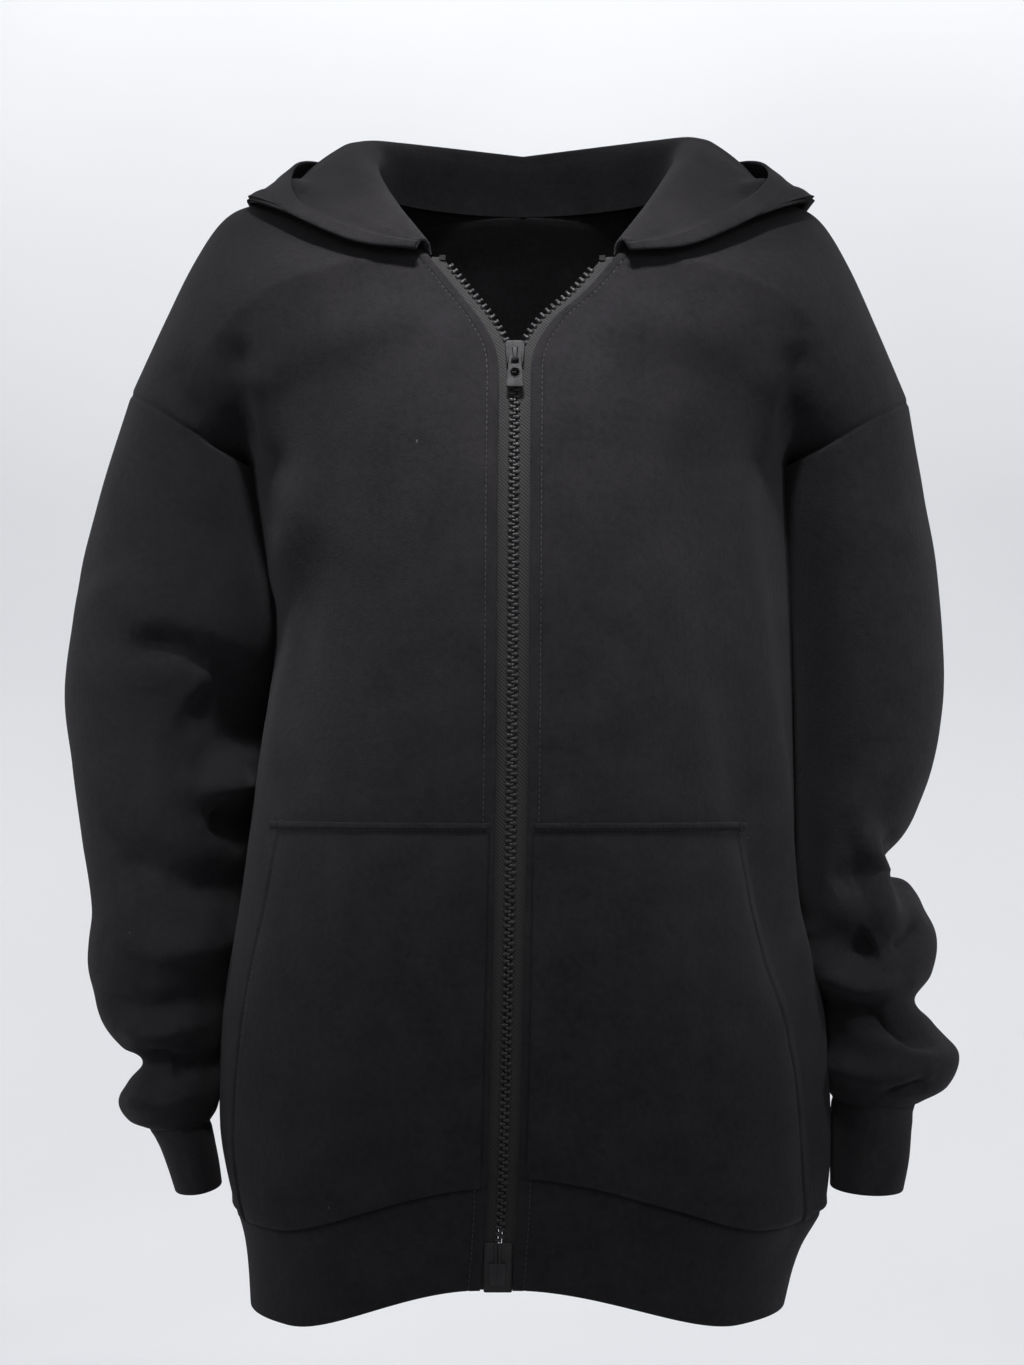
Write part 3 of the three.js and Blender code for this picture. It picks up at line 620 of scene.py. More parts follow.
def node_material(name):
    material = bpy.data.materials.new(name)
    material.use_nodes = True
    nodes = material.node_tree.nodes
    return material, nodes, material.node_tree.links, nodes["Principled BSDF"]


def object_coordinates(nodes, links, scale=(1, 1, 1)):
    """The garment's own coordinates, in metres, stretched by scale."""
    where = nodes.new("ShaderNodeTexCoord")
    mapping = nodes.new("ShaderNodeMapping")
    mapping.inputs["Scale"].default_value = scale
    links.new(where.outputs["Object"], mapping.inputs["Vector"])
    return mapping.outputs["Vector"]


def noise(nodes, links, vector, scale, detail=2.0, roughness=0.5):
    texture = nodes.new("ShaderNodeTexNoise")
    texture.inputs["Scale"].default_value = scale
    texture.inputs["Detail"].default_value = detail
    texture.inputs["Roughness"].default_value = roughness
    links.new(vector, texture.inputs["Vector"])
    return texture.outputs["Fac"]


def math_node(nodes, links, operation, *values):
    node = nodes.new("ShaderNodeMath")
    node.operation = operation
    for socket, value in zip(node.inputs, values):
        if hasattr(value, "links"):
            links.new(value, socket)
        else:
            socket.default_value = value
    return node.outputs["Value"]


def ramp(nodes, links, factor, stops):
    node = nodes.new("ShaderNodeValToRGB")
    elements = node.color_ramp.elements
    while len(elements) < len(stops):
        elements.new(0.5)
    for element, (place, color) in zip(elements, stops):
        element.position = place
        element.color = (*color, 1)
    links.new(factor, node.inputs["Fac"])
    return node.outputs["Color"]


def bump_node(nodes, links, height, distance, strength, before=None):
    node = nodes.new("ShaderNodeBump")
    node.inputs["Distance"].default_value = distance
    node.inputs["Strength"].default_value = strength
    links.new(height, node.inputs["Height"])
    if before is not None:
        links.new(before, node.inputs["Normal"])
    return node.outputs["Normal"]


def weighted(nodes, links, parts):
    """A sum of factors, each by its weight."""
    total = 0.0
    for factor, weight in parts:
        total = math_node(nodes, links, "MULTIPLY_ADD", factor, weight, total)
    return total


def painted(nodes, links, shader, factor, dark, light):
    """Base colour that goes from dark to light, each a place and a colour, with a factor."""
    links.new(ramp(nodes, links, factor, [dark, light]), shader.inputs["Base Color"])


def roughened(nodes, links, shader, factor, spread, least):
    rough = math_node(nodes, links, "MULTIPLY_ADD", factor, spread, least)
    links.new(rough, shader.inputs["Roughness"])


def fleece_material():
    """Brushed black jersey: a short matted pile, faint wales, soft mottling and a little lint."""
    material, nodes, links, shader = node_material("brushed_fleece")
    plain = object_coordinates(nodes, links)
    pile = noise(nodes, links, plain, 900, 3, 0.65)
    tufts = noise(nodes, links, plain, 260, 2, 0.55)
    mottling = noise(nodes, links, plain, 34, 3, 0.6)
    wales = noise(nodes, links, object_coordinates(nodes, links, (1, 1, 0.12)), 620, 1, 0.5)
    shade = weighted(nodes, links, [(mottling, 0.34), (pile, 0.31), (tufts, 0.35)])
    dark = (0.0046, 0.0043, 0.0050)
    light = (0.0128, 0.0118, 0.0135)
    color = ramp(nodes, links, shade, [(0.36, dark), (0.66, light)])
    lint = nodes.new("ShaderNodeTexVoronoi")
    lint.inputs["Scale"].default_value = 55
    links.new(object_coordinates(nodes, links, (1, 1, 0.5)), lint.inputs["Vector"])
    near = math_node(nodes, links, "LESS_THAN", lint.outputs["Distance"], 0.028)
    chosen = nodes.new("ShaderNodeSeparateColor")
    links.new(lint.outputs["Color"], chosen.inputs["Color"])
    rare = math_node(nodes, links, "GREATER_THAN", chosen.outputs["Red"], 0.86)
    speck = math_node(nodes, links, "MULTIPLY", near, rare)
    speck = math_node(nodes, links, "MULTIPLY", speck, 0.5)
    mixed = nodes.new("ShaderNodeMix")
    mixed.data_type = "RGBA"
    links.new(speck, mixed.inputs[0])
    links.new(color, mixed.inputs[6])
    mixed.inputs[7].default_value = (0.14, 0.14, 0.15, 1)
    links.new(mixed.outputs[2], shader.inputs["Base Color"])
    roughened(nodes, links, shader, pile, 0.08, 0.88)
    shader.inputs["Specular IOR Level"].default_value = 0.12
    shader.inputs["Sheen Weight"].default_value = 0.035
    shader.inputs["Sheen Roughness"].default_value = 0.55
    shader.inputs["Sheen Tint"].default_value = (0.75, 0.73, 0.8, 1)
    soft = bump_node(nodes, links, tufts, 0.0009, 0.35)
    lines = bump_node(nodes, links, wales, 0.0004, 0.35, soft)
    links.new(bump_node(nodes, links, pile, 0.0006, 0.7, lines), shader.inputs["Normal"])
    return material


def tape_material():
    """Woven zip tape: fine diagonal twill, slightly darker than the fleece."""
    material, nodes, links, shader = node_material("zip_tape")
    wave = nodes.new("ShaderNodeTexWave")
    wave.bands_direction = "DIAGONAL"
    wave.inputs["Scale"].default_value = 260
    wave.inputs["Distortion"].default_value = 1.2
    wave.inputs["Detail"].default_value = 1
    plain = object_coordinates(nodes, links)
    links.new(plain, wave.inputs["Vector"])
    cloudy = noise(nodes, links, plain, 120, 2)
    shade = weighted(nodes, links, [(wave.outputs["Fac"], 0.6), (cloudy, 0.4)])
    painted(nodes, links, shader, shade, (0.2, (0.003, 0.003, 0.0033)), (0.8, (0.0085, 0.008, 0.009)))
    roughened(nodes, links, shader, cloudy, 0.15, 0.68)
    shader.inputs["Specular IOR Level"].default_value = 0.3
    normal = bump_node(nodes, links, wave.outputs["Fac"], 0.0003, 0.6)
    links.new(normal, shader.inputs["Normal"])
    return material


def plastic_material():
    """Moulded teeth: satin black with faint moulding ripples and scuffed high spots."""
    material, nodes, links, shader = node_material("zip_plastic")
    plain = object_coordinates(nodes, links)
    scuffs = noise(nodes, links, plain, 700, 3)
    clouds = noise(nodes, links, plain, 90, 2)
    painted(nodes, links, shader, clouds, (0.3, (0.009, 0.009, 0.01)), (0.7, (0.017, 0.017, 0.018)))
    roughened(nodes, links, shader, scuffs, 0.2, 0.34)
    shader.inputs["Specular IOR Level"].default_value = 0.2
    links.new(bump_node(nodes, links, scuffs, 0.0001, 0.25), shader.inputs["Normal"])
    return material


def metal_material():
    """Black lacquered slider and pull: satin, faintly clouded, with fine scratches."""
    material, nodes, links, shader = node_material("zip_metal")
    scratches = noise(nodes, links, object_coordinates(nodes, links, (1, 1, 0.15)), 900, 2)
    clouds = noise(nodes, links, object_coordinates(nodes, links), 240, 2)
    painted(nodes, links, shader, clouds, (0.35, (0.01, 0.01, 0.011)), (0.7, (0.022, 0.022, 0.024)))
    roughened(nodes, links, shader, scratches, 0.2, 0.5)
    shader.inputs["Specular IOR Level"].default_value = 0.17
    shader.inputs["Coat Weight"].default_value = 0.03
    shader.inputs["Coat Roughness"].default_value = 0.4
    links.new(bump_node(nodes, links, scratches, 0.00008, 0.2), shader.inputs["Normal"])
    return material


def thread_material():
    """Spun sewing thread: a fine twist in black."""
    material, nodes, links, shader = node_material("thread")
    twist = noise(nodes, links, object_coordinates(nodes, links), 1600, 1)
    painted(nodes, links, shader, twist, (0.3, (0.005, 0.005, 0.0055)), (0.7, (0.012, 0.0115, 0.013)))
    shader.inputs["Roughness"].default_value = 0.6
    links.new(bump_node(nodes, links, twist, 0.0002, 0.5), shader.inputs["Normal"])
    return material


def stage_material():
    """A pale matt paper sweep with barely visible unevenness."""
    material, nodes, links, shader = node_material("paper")
    cloudy = noise(nodes, links, object_coordinates(nodes, links), 1.2, 2)
    painted(nodes, links, shader, cloudy, (0.3, (0.80, 0.81, 0.83)), (0.7, (0.84, 0.85, 0.865)))
    shader.inputs["Roughness"].default_value = 0.9
    return material


FLEECE = fleece_material()
TAPE = tape_material()
PLASTIC = plastic_material()
METAL = metal_material()
THREAD = thread_material()
PAPER = stage_material()


# ---- stitches --------------------------------------------------------------------------------

def along_path(points, normals, pitch, start):
    """Places, directions and outward directions at every pitch along a line of points."""
    lengths = np.concatenate([[0], np.cumsum(np.linalg.norm(np.diff(points, axis=0), axis=1))])
    marks = np.arange(start, lengths[-1], pitch)

    def at(values, where):
        return np.stack([np.interp(where, lengths, values[:, k]) for k in range(3)], -1)

    forward = at(points, marks + 0.5) - at(points, marks - 0.5)
    forward /= np.maximum(np.linalg.norm(forward, axis=1, keepdims=True), 1e-9)
    outward = at(normals, marks)
    outward -= forward * np.sum(forward * outward, 1, keepdims=True)
    outward /= np.linalg.norm(outward, axis=1, keepdims=True)
    return at(points, marks), forward, outward


def scattered(name, shape_points, shape_faces, places, forward, outward, material):
    """One joined mesh with a copy of a small shape at each place; shape axes: side, out, along."""
    sideways = np.cross(forward, outward)
    axes = np.stack([sideways, outward, forward], 1)
    vertices = places[:, None] + np.einsum("vk,nkc->nvc", shape_points, axes)
    count = len(shape_points)
    faces = []
    for face in shape_faces:
        faces += [[index + n * count for index in face] for n in range(len(places))]
    return new_object(name, vertices.reshape(-1, 3), faces, material)


def ring_faces(rings, around, turned=False):
    """Quads between neighbouring rings of points; turned ones face the other way."""
    faces = []
    for ring in range(rings - 1):
        for k in range(around):
            a, b = ring * around + k, ring * around + (k + 1) % around
            quad = (a, a + around, b + around, b) if turned else (a, b, b + around, a + around)
            faces.append(quad)
    return faces


def stitch_shape():
    """A short thread that dips into the cloth at both ends."""
    points = []
    rings = [(-0.5, -0.5, 0.5), (-0.3, 0.1, 0.95), (0.0, 0.22, 1.0), (0.3, 0.1, 0.95), (0.5, -0.5, 0.5)]
    for along, rise, share in rings:
        for k in range(STITCH_SIDES):
            turn = k * math.pi / 3
            points.append((
                STITCH_RADIUS * share * math.cos(turn),
                STITCH_RADIUS * (rise + share * math.sin(turn)),
                STITCH_LENGTH * along,
            ))
    faces = ring_faces(len(rings), STITCH_SIDES)
    faces.append(tuple(range(STITCH_SIDES - 1, -1, -1)))
    faces.append(tuple(range(len(points) - STITCH_SIDES, len(points))))
    return np.array(points), faces


def stitch_line(name, points, normals):
    """Stitches along a line on the cloth; they ride with the garment."""
    places, forward, outward = along_path(points, normals, STITCH_PITCH, 1.0)
    shape, faces = stitch_shape()
    piece = scattered(name, shape, faces, places - outward * STITCH_SINK, forward, outward, THREAD)
    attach(piece, "garment")


# ---- the cloth pieces ------------------------------------------------------------------------

BOTH_SIDES = (RIGHT, LEFT)


def declare(piece, node):
    """Puts a cloth piece in place of its node."""
    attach(piece, "garment")
    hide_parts(node)


def pushed_body(side, is_front):
    """The body's surface with its creases, for whatever lies on it."""
    def at(u, v):
        points = body_point(side, is_front, u, v)
        normals = normals_of(points, False) * side * (1 if is_front else -1)
        return points + normals * body_push(is_front, points)[..., None]
    return at


def front_relief(distances):
    """The folded front edge stands a little proud, held down by a line of stitches."""
    from_zip = distances[0]
    folded = EDGE_FOLD * (1 - between(EDGE_STITCH - 0.6, EDGE_STITCH + 0.6, from_zip))
    return folded - EDGE_GROOVE * bump(from_zip, EDGE_STITCH, 0.9)


def hem_relief(distances):
    """The body's cloth swells where the hem band gathers it in."""
    return front_relief(distances) + HEM_SWELL * bump(
        distances[2], HEM_SWELL_FROM_SEAM, HEM_SWELL_REACH)


def armhole_axis(side):
    """The direction square to the armhole's plane, along the sleeve."""
    drop = sleeve_point(side, 0.5, 0.0) - sleeve_point(side, 0.0, 0.0)
    axis = np.array([side * abs(drop[2]), 0, -abs(drop[0])])
    return axis / np.linalg.norm(axis)


def settle_sleeve(side):
    axis = armhole_axis(side)

    def settle(normals, points):
        normals[:, 0] -= (normals[:, 0] @ axis)[:, None] * axis
    return settle


def settle_body(side):
    """Turns the edges' directions so that a panel meets its neighbours face to face."""
    axis = armhole_axis(side)

    def settle(normals, points):
        edge = normals[-1]
        above = points[-1, :, 2] > ARMHOLE_FOOT
        square = edge - (edge @ axis)[:, None] * axis
        flat = edge * np.array([1, 0, 1])
        normals[-1] = np.where(above[:, None], square, flat)
        if points[:, -1, 2].max() > -150:
            normals[:, -1, 1] = 0
    return settle


def make_fronts():
    for side in BOTH_SIDES:
        us = spaced(0, 1, 250, 3.0, EDGE_STEPS + stitch_steps(EDGE_STITCH), EDGE_STEPS)
        vs = spaced(0, 1, 640, 4.2, EDGE_STEPS, EDGE_STEPS)
        piece = cloth_piece(
            f"front_{SIDES[side]}_cloth", lambda u, v: body_point(side, True, u, v), us, vs, side,
            FLEECE, push=lambda p: body_push(True, p), edges=("round", "seam", "seam", "seam"),
            relief=hem_relief, settle=settle_body(side),
        )
        declare(piece, f"front_{SIDES[side]}")
        band_vs = spaced(BAND_BOTTOM, 0, 63, 3.0, EDGE_STEPS, EDGE_STEPS)
        band = cloth_piece(
            f"hem_band_front_{SIDES[side]}_cloth", lambda u, v: body_point(side, True, u, v), us,
            band_vs, side, FLEECE, push=lambda p: body_push(True, p),
            edges=("round", "seam", "round", "seam"), relief=front_relief,
        )
        declare(band, f"hem_band_front_{SIDES[side]}")


def settle_back(side):
    """As settle_body, and at the centre line square to the middle so that both halves weld."""
    outer = settle_body(side)

    def settle(normals, points):
        outer(normals, points)
        normals[0, :, 0] = 0
    return settle


def make_backs():
    """The back is one piece: its two halves share the centre line below the neck."""
    for name, from_v, to_v, length, edges, flat, area in (
        ("back", 0, 1, 700, ("", "seam", "seam", "seam"), (0.6, 0.67), 0.33),
        ("hem_band_back", BAND_BOTTOM, 0, 62, ("", "seam", "round", "seam"), (0.5, 0.065), 0.03),
    ):
        halves = []
        for side in BOTH_SIDES:
            us = spaced(0, 1, 250, 4.0, (), EDGE_STEPS)
            vs = spaced(from_v, to_v, length, 4.2, EDGE_STEPS, EDGE_STEPS)
            halves.append(cloth_piece(
                f"{name}_half", lambda u, v: body_point(side, False, u, v), us, vs, -side, FLEECE,
                push=lambda p: body_push(False, p), edges=edges, settle=settle_back(side),
            ))
        piece = joined(f"{name}_cloth", halves)
        declare(piece, name)


def joined(name, pieces):
    """One mesh from several, welded where their points meet."""
    bpy.ops.object.select_all(action="DESELECT")
    for piece in pieces:
        piece.select_set(True)
    bpy.context.view_layer.objects.active = pieces[0]
    bpy.ops.object.join()
    whole = pieces[0]
    whole.name = name
    weld = whole.modifiers.new("weld", "WELD")
    weld.merge_threshold = 0.12 * MM
    bpy.ops.object.modifier_apply(modifier=weld.name)
    return whole


def make_sleeves():
    for side in BOTH_SIDES:
        turns = np.linspace(0, 1, 121)
        stations = spaced(0, CUFF_SEAM, 500, 2.8, EDGE_STEPS, EDGE_STEPS)

        def base(u, v):
            """The sleeve, with its inner side pressed against the body."""
            points = sleeve_point(side, u, v)
            inwards = ((1 - np.cos(u * 2 * math.pi)) / 2) ** 3 * between(0, 0.12, v)
            press = ARM_PRESS + ARMPIT_PRESS * between(3, 0.7, v)
            points[..., 0] -= side * press * inwards * between(CUFF_SEAM, 12, v)
            return points

        piece = cloth_piece(
            f"sleeve_{SIDES[side]}_cloth", base, turns, stations, side, FLEECE,
            push=lambda p: sleeve_push(side, p), edges=("", "", "seam", "seam"), closed=True,
            settle=settle_sleeve(side),
        )
        declare(piece, f"sleeve_{SIDES[side]}")
        cuff_stations = spaced(CUFF_SEAM, CUFF_END, 42, 1.5, EDGE_STEPS, EDGE_STEPS)
        cuff = cloth_piece(
            f"cuff_{SIDES[side]}_cloth", lambda u, v: sleeve_point(side, u, v), turns, cuff_stations,
            side, FLEECE, edges=("", "", "seam", "round"), closed=True,
        )
        declare(cuff, f"cuff_{SIDES[side]}")


def hood_push(side, us, vs):
    """Creases of the hood, placed by neckline step and share of its depth."""
    u, v = np.meshgrid(us, vs, indexing="ij")
    return creases(u * 20, v * 200, HOOD)


def hood_relief(distances):
    """The rim's wide hem, stitched down."""
    from_rim = distances[3]
    folded = RIM_FOLD * (1 - between(RIM_STITCH - 1, RIM_STITCH + 1, from_rim))
    return folded - RIM_GROOVE * bump(from_rim, RIM_STITCH, 1.0)


def settle_hood(normals, points):
    """The centre seam's faces meet in the middle, and the neckline's stand square to the neck."""
    normals[-1, :, 0] = 0
    outwards = points[:, 0] - np.array([NECK_X, NECK_Y, 0])
    normals[:, 0] = outwards * np.array([1, 1, 0])


def hood_base(side):
    """The hood's surface, its first rows brought down to the neckline seam."""
    def at(u, v):
        points = hood_point(side, u, v)
        down = np.array([0, 0, HOOD_SEAM_DROP])
        return points - down * (1 - between(0, 0.04, v))[..., None]
    return at


def make_hood():
    for side in BOTH_SIDES:
        us = spaced(0, 10, 330, 3.0, EDGE_STEPS, EDGE_STEPS)
        vs = spaced(0, 1, 330, 3.0, EDGE_STEPS, EDGE_STEPS)
        piece = cloth_piece(
            f"hood_{SIDES[side]}_cloth", hood_base(side), us, vs, side, FLEECE,
            push=lambda p: hood_push(side, us, vs), edges=("round", "seam", "seam", "round"),
            relief=hood_relief, settle=settle_hood,
        )
        declare(piece, f"hood_{SIDES[side]}")


POCKET_OPENING = {
    RIGHT: smooth([(0, 0.8), (0.08, 0.755), (POCKET_TOP, 0.67)]),
    LEFT: smooth([(0, 0.8), (0.08, 0.735), (POCKET_TOP, 0.6)]),
}


def pocket_point(side, u, v):
    opening = POCKET_OPENING[side](v)[..., 0]
    return pushed_body(side, True)(0.015 + (opening - 0.015) * u, v)


def pocket_relief(distances):
    """Doubled edges at the top and the opening, each held by a line of stitches."""
    top, opening = distances[3], distances[1]
    top_inside = between(POCKET_TOP_STITCH - 0.8, POCKET_TOP_STITCH + 0.8, top)
    side_inside = between(POCKET_SIDE_STITCH - 1, POCKET_SIDE_STITCH + 1, opening)
    doubled = np.maximum(POCKET_TOP_FOLD * (1 - top_inside), POCKET_SIDE_FOLD * (1 - side_inside))
    top_groove = POCKET_TOP_GROOVE * bump(top, POCKET_TOP_STITCH, 1.1)
    side_groove = POCKET_SIDE_GROOVE * bump(opening, POCKET_SIDE_STITCH, 1.1)
    spread = between(0, 40, top) * between(0, 30, opening) * between(0, 25, distances[0])
    return doubled - (top_groove + side_groove) + POCKET_SLACK * spread


def make_pockets():
    top_steps = EDGE_STEPS + stitch_steps(POCKET_TOP_STITCH)
    side_steps = EDGE_STEPS + stitch_steps(POCKET_SIDE_STITCH)
    for side in BOTH_SIDES:
        us = spaced(0, 1, 185, 3.0, EDGE_STEPS, side_steps)
        vs = spaced(0, POCKET_TOP, 225, 3.0, EDGE_STEPS, top_steps)
        piece = cloth_piece(
            f"pocket_{SIDES[side]}_cloth", lambda u, v: pocket_point(side, u, v), us, vs, side,
            FLEECE, POCKET_CLOTH, edges=("round", "round", "seam", "round"),
            lift=POCKET_CLOTH + 0.4, relief=pocket_relief,
        )
        declare(piece, f"pocket_{SIDES[side]}")
        stitch_pocket(side)


def stitch_pocket(side):
    """Stitches below the pocket's top and inside its opening."""
    share = np.linspace(0, 1, 120)
    height = POCKET_TOP * share
    lines = (
        ("top", share * 0.985, np.full(120, POCKET_TOP - POCKET_TOP_STITCH / 860)),
        ("opening", np.full(120, 1 - POCKET_SIDE_STITCH / 170), height),
    )
    for label, across, up in lines:
        spread = np.stack([across, across + 1e-3])
        points = pocket_point(side, spread, np.stack([up, up]))
        normals = line_normals(side, lambda u, v: pocket_point(side, u, v), across, up)
        lifted = points[0] + normals * (POCKET_CLOTH + 0.4)
        stitch_line(f"pocket_stitches_{label}_{SIDES[side]}", lifted, normals)


def line_normals(side, surface, across, up):
    """Outward directions of a surface along a line of its keys."""
    step = 1e-3
    u = np.stack([across - step, across + step])
    v = np.stack([up - step, up + step])
    along_u = surface(u, np.stack([up, up]))
    along_v = surface(np.stack([across, across]), v)
    normal = np.cross(along_u[1] - along_u[0], along_v[1] - along_v[0]) * side
    return normal / np.linalg.norm(normal, axis=1, keepdims=True)


def stitch_fronts():
    """Topstitching beside the zip, from the hem to the neck."""
    for side in BOTH_SIDES:
        up = np.concatenate([np.linspace(BAND_BOTTOM + 0.004, -0.003, 40),
                             np.linspace(0.003, ZIP_TOP - 0.01, 300)])
        across = np.full(up.shape, float(EDGE_STITCH))
        points = beside_edge(side, across, up)
        normals = line_normals(side, lambda u, v: beside_edge(side, u * 100, v), across / 100, up)
        stitch_line(f"zip_stitches_{SIDES[side]}", points - normals * 0.1, normals)


# ---- the zip ---------------------------------------------------------------------------------

def make_tapes():
    for side in BOTH_SIDES:
        us = spaced(-TAPE_WOVEN, TAPE_UNDER, TAPE_WOVEN + TAPE_UNDER, 1.5)
        vs = np.concatenate([np.linspace(BAND_BOTTOM, 0, 24)[:-1], np.linspace(0, ZIP_TOP, 260)])
        tape = cloth_piece(
            f"zip_tape_{SIDES[side]}_cloth", lambda u, v: beside_edge(side, u, v), us, vs, side,
            TAPE, 1.0, edges=("round", "round", "round", "round"), lift=TAPE_LIFT,
        )
        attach(tape, "garment")
        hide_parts(f"zip_tape_{SIDES[side]}")


def tooth_shape():
    """A moulded tooth: a block clamped on the tape, a waist and a rounded head."""
    # (across the tape, half width along it, half depth)
    rings = [
        (-0.8, 0.9, 0.9), (-0.5, 1.25, 1.25), (0.7, 1.4, 1.45), (1.3, 1.3, 1.45), (1.8, 1.0, 1.4),
        (2.3, 0.95, 1.35), (2.7, 1.15, 1.45), (3.2, 1.15, 1.4), (3.5, 0.9, 1.15), (3.65, 0.4, 0.6),
    ]
    points = []
    for across, half_along, half_out in rings:
        for k in range(TOOTH_SIDES):
            turn = (k + 0.5) * math.pi / 4
            along = half_along * np.clip(1.35 * math.cos(turn), -1, 1)
            out = half_out * np.clip(1.35 * math.sin(turn), -1, 1)
            points.append((across, out, along))
    faces = ring_faces(len(rings), TOOTH_SIDES, turned=True)
    faces.append(tuple(range(TOOTH_SIDES)))
    faces.append(tuple(range(len(points) - 1, len(points) - TOOTH_SIDES - 1, -1)))
    return np.array(points), faces


def make_teeth():
    shape, faces = tooth_shape()
    for side in BOTH_SIDES:
        up = np.concatenate([np.linspace(BAND_BOTTOM + 0.03, 0, 60)[:-1],
                             np.linspace(0, TOOTH_TOP, 900)])
        root = np.full(up.shape, -TAPE_WOVEN + 1.3)
        points = beside_edge(side, root, up)
        points, up, root = (a[points[:, 2] > TOOTH_BOTTOM] for a in (points, up, root))
        normals = line_normals(side, lambda u, v: beside_edge(side, u * 100, v), root / 100, up)
        points = points + normals * (TAPE_LIFT - 0.5)
        lengths = np.concatenate([[0], np.cumsum(np.linalg.norm(np.diff(points, axis=0), axis=1))])
        at_slider = np.interp(SLIDER_HEIGHT, points[:, 2], lengths)
        half = 0 if side == RIGHT else TOOTH_PITCH / 2
        start = (at_slider + half) % TOOTH_PITCH
        places, forward, outward = along_path(points, normals, TOOTH_PITCH, start)
        handed = shape * np.array([-side, 1, 1])
        piece = scattered(f"zip_teeth_{SIDES[side]}_row", handed, faces, places, forward, outward,
                          PLASTIC)
        if side == RIGHT:
            piece.data.flip_normals()
        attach(piece, "garment")
        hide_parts(f"zip_teeth_{SIDES[side]}")


def zip_frame(z):
    """Place on the zip's centre line at a height: x across, y into the cloth, z up along it."""
    heights = np.linspace(BAND_BOTTOM, ZIP_TOP, 2000)
    middle = 0.0
    for side in BOTH_SIDES:
        x, edge_z = np.moveaxis(front_edge[side](heights), -1, 0)
        middle += np.interp(z, edge_z, x) / 2
    depth = front_depth(np.array([z - 5, z, z + 5]))[:, 0]
    lean = math.atan2(depth[2] - depth[0], 10)
    origin = np.array([middle, depth[1], z])
    axes = np.array([
        [1, 0, 0], [0, math.cos(lean), -math.sin(lean)], [0, math.sin(lean), math.cos(lean)],
    ])
    return origin, axes


def plate_object(name, outlines, thickness, front, bevel, place, material):
    """A flat plate from outlines of (x, z) with rounded edges; its front face is at y = front."""
    curve = bpy.data.curves.new(name, "CURVE")
    curve.dimensions = "2D"
    curve.fill_mode = "BOTH"
    for outline in outlines:
        spline = curve.splines.new("POLY")
        spline.points.add(len(outline) - 1)
        for point, (x, z) in zip(spline.points, outline):
            point.co = (x, z, 0, 1)
        spline.use_cyclic_u = True
    curve.extrude = thickness / 2 - bevel
    curve.bevel_depth = bevel
    curve.bevel_resolution = 3
    curve.offset = -bevel
    flat = bpy.data.objects.new(name + "_flat", curve)
    bpy.context.scene.collection.objects.link(flat)
    bpy.context.view_layer.update()
    mesh = bpy.data.meshes.new_from_object(flat)
    bpy.data.objects.remove(flat)
    origin, axes = place
    points = np.empty(len(mesh.vertices) * 3)
    mesh.vertices.foreach_get("co", points)
    points = points.reshape(-1, 3)
    local = np.stack([points[:, 0], front + thickness / 2 - points[:, 2], points[:, 1]], -1)
    world = origin + local @ axes
    mesh.vertices.foreach_set("co", (world * MM).ravel())
    mesh.name = name
    piece = object_from(name, mesh, material)
    weld = piece.modifiers.new("weld", "WELD")
    weld.merge_threshold = 0.01 * MM
    return piece


def rounded(top_width, bottom_width, top, bottom, radius):
    """An outline with four rounded corners, as (x, z)."""
    corners = [(-top_width / 2, top), (top_width / 2, top),
               (bottom_width / 2, bottom), (-bottom_width / 2, bottom)]
    outline = []
    for n, corner in enumerate(corners):
        here = np.array(corner, float)
        before = np.array(corners[n - 1]) - here
        after = np.array(corners[(n + 1) % 4]) - here
        start = here + before / np.linalg.norm(before) * radius
        end = here + after / np.linalg.norm(after) * radius
        for t in np.linspace(0, 1, CORNER_POINTS):
            outline.append(tuple((1 - t) ** 2 * start + 2 * t * (1 - t) * here + t * t * end))
    return outline


def circle(radius, z, count=20):
    turns = [n * 2 * math.pi / count for n in range(count)]
    return [(radius * math.cos(t), z + radius * math.sin(t)) for t in turns]


def make_slider():
    place = zip_frame(SLIDER_HEIGHT)
    width, length = SLIDER_SIZE
    outline = rounded(width, width * 0.84, length / 2, -length / 2, 2.6)
    front = plate_object("slider_front", [outline], SLIDER_PLATE, -0.4, 0.55, place, METAL)
    back = plate_object("slider_back", [outline], SLIDER_PLATE, 5.3, 0.55, place, METAL)
    post = plate_object("slider_post", [rounded(2, 2, length / 2 - 0.2, length / 2 - 2.6, 0.6)],
                        6.2, 0.2, 0.3, place, METAL)
    arch = arch_object(place)
    rails = []
    for sign in (-1, 1):
        rail = [(sign * (width / 2 - 0.9) * s + dx, z) for s, dx, z in (
            (1, -0.55, length / 2 - 2.4), (1, 0.55, length / 2 - 2.4),
            (0.86, 0.55, -length / 2 + 1.6), (0.86, -0.55, -length / 2 + 1.6))]
        rails.append(plate_object(f"slider_rail_{sign}", [rail], 0.9, -0.85, 0.3, place, METAL))
    slider = joined("zip_slider_body", [front, back, post, arch] + rails)
    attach(slider, "garment")
    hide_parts("zip_slider")


def arch_object(place):
    """The rounded strap over the slider's front that carries the pull."""
    origin, axes = place
    points = []
    ribs, around_rib = 22, 10
    for n in range(ribs + 1):
        turn = math.pi * n / ribs
        z = -1.2 - 4.45 * math.copysign(abs(math.cos(turn)) ** 0.6, math.cos(turn))
        rise = 3.3 * math.sin(turn) ** 0.55 if 0 < n < ribs else -0.6
        flare = 1 + 0.25 * abs(math.cos(turn)) ** 3
        for k in range(around_rib):
            around = 2 * math.pi * k / around_rib
            points.append((1.5 * flare * math.cos(around),
                           -0.4 - rise - 0.5 * math.sin(around) * math.sin(turn),
                           z - 0.5 * math.sin(around) * math.cos(turn)))
    world = origin + np.array(points) @ axes
    return new_object("slider_arch", world, ring_faces(ribs + 1, around_rib), METAL)


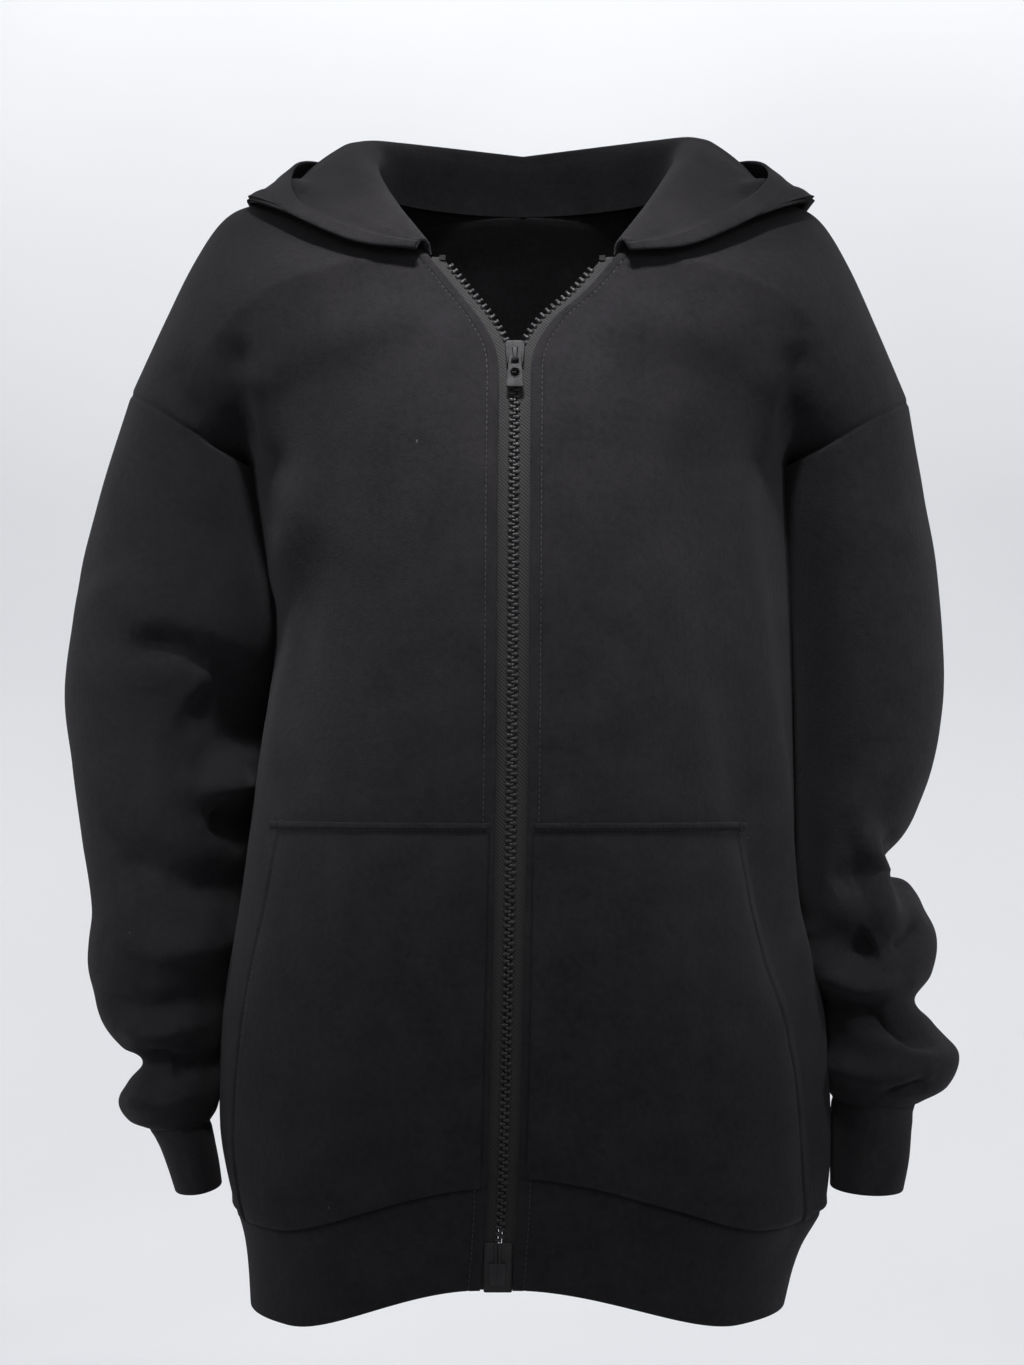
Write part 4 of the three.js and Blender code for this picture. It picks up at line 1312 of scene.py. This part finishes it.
def make_pull_tab():
    place = zip_frame(SLIDER_HEIGHT)
    _, hinge_y, hinge_z = TAB_HINGE
    outline = rounded(7.4, 10.6, hinge_z + 0.9, hinge_z - 18.5, 1.4)
    slot = rounded(4.2, 4.2, hinge_z - 0.9, hinge_z - 4.2, 0.5)
    keyhole_z = hinge_z - KEYHOLE_DROP
    keyhole = circle(2.7, keyhole_z)
    plate = plate_object("pull_tab_plate", [outline, slot, keyhole], 1.6, hinge_y - 0.8, 0.4,
                         place, METAL)
    ring = [circle(3.6, keyhole_z, 24), circle(2.8, keyhole_z, 24)]
    rim = plate_object("pull_tab_rim", ring, 1.9, hinge_y - 0.95, 0.2, place, METAL)
    tab = joined("pull_tab_body", [plate, rim])
    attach(tab, "pull")
    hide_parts("pull_tab")


def make_tape_ends():
    """The film that stiffens the tapes' lower ends, and the two pins that go into the box."""
    place = zip_frame(FILM_CENTRE)
    film = plate_object("zip_film", [rounded(17, 17, 15, -15.5, 1.2)], 0.5, 1.9, 0.2, place, PLASTIC)
    pins = []
    for middle in (-PIN_OFFSET, PIN_OFFSET):
        outline = [(x + middle, z) for x, z in rounded(1.9, 1.9, 14.2, -4, 0.6)]
        pins.append(plate_object(f"zip_pin_{middle}", [outline], 1.7, 0.5, 0.5, place, PLASTIC))
    ends = joined("zip_tape_ends", [film] + pins)
    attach(ends, "garment")


def make_box_and_stops():
    place = zip_frame(BOX_CENTRE)
    shell = plate_object("zip_box_body", [rounded(11, 9.4, 7, -7, 1.6)], 2.6, -0.1, 0.5, place,
                         PLASTIC)
    bar = plate_object("zip_box_bar", [rounded(0.9, 0.9, 5.4, -5.4, 0.3)], 0.6, -0.45, 0.2, place,
                       PLASTIC)
    whole = joined("zip_box_moulding", [shell, bar])
    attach(whole, "garment")
    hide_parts("zip_box")
    for side in BOTH_SIDES:
        node = bpy.data.objects.get(f"zip_stop_{SIDES[side]}")
        for slot in node.material_slots:
            slot.material = PLASTIC


# ---- stage, light and camera -----------------------------------------------------------------

def make_stage():
    """A pale sweep: a floor that turns up into a wall behind the garment."""
    wall_y, floor_z, bend, half_width = 5.6, -1.5, 1.6, 30.0
    section = [(-half_width, floor_z)]
    for n in range(17):
        turn = math.pi / 2 * n / 16
        section.append((wall_y - bend + bend * math.sin(turn), floor_z + bend - bend * math.cos(turn)))
    section.append((wall_y, 6.0))
    vertices = [(x, y, z) for y, z in section for x in (-half_width, half_width)]
    faces = [(2 * n, 2 * n + 1, 2 * n + 3, 2 * n + 2) for n in range(len(section) - 1)]
    sweep = new_object("sweep", np.array(vertices) / MM, faces, PAPER)


def add_light(name, place, target, size, power, spread=math.pi):
    data = bpy.data.lights.new(name, "AREA")
    data.shape = "RECTANGLE"
    data.size, data.size_y = size
    data.energy = power
    data.spread = spread
    lamp = bpy.data.objects.new(name, data)
    lamp.location = place
    direction = np.array(target, float) - np.array(place, float)
    lamp.rotation_euler = Vector(direction).to_track_quat("-Z", "Y").to_euler()
    lamp.visible_camera = False
    bpy.context.scene.collection.objects.link(lamp)


def make_lights():
    add_light("key", (-0.03, -0.74, 0.92), (0, -0.12, -0.05), (0.26, 0.12), 0.9, 0.38)
    add_light("fill", (0.0, -2.4, 0.1), (0, -0.1, -0.5), (2.6, 1.2), 7)
    for side in (-1, 1):
        place = (side * 1.5, -1.5, 0.75)
        add_light(f"side_{side}", place, (side * 0.27, 0, -0.3), (0.3, 0.3), 0.5, 0.28)
    add_light("wall_wash", (0.0, 4.0, 3.0), (0, 5.6, -0.6), (6.0, 0.8), 112)
    world = bpy.data.worlds.new("room")
    world.use_nodes = True
    background = world.node_tree.nodes["Background"]
    background.inputs["Color"].default_value = (0.97, 0.97, 1.0, 1)
    background.inputs["Strength"].default_value = 0.45
    bpy.context.scene.world = world


def make_camera():
    """A level camera in front of the garment, whose picture is as wide as VIEW_WIDTH at the zip."""
    camera = bpy.data.cameras.new("camera")
    camera.sensor_fit = "HORIZONTAL"
    camera.sensor_width = SENSOR
    camera.lens = SENSOR * VIEW_DISTANCE / VIEW_WIDTH
    holder = bpy.data.objects.new("camera", camera)
    holder.location = (0.0006, -2.23, -0.2975)
    holder.rotation_euler = (math.pi / 2, 0, 0)
    bpy.context.scene.collection.objects.link(holder)
    bpy.context.scene.camera = holder


make_camera()
make_fronts()
make_backs()
make_sleeves()
make_hood()
make_pockets()
stitch_fronts()
make_tapes()
make_teeth()
make_slider()
make_pull_tab()
make_tape_ends()
make_box_and_stops()
make_stage()
make_lights()
bpy.context.scene.view_settings.view_transform = "Standard"

bpy.context.view_layer.update()
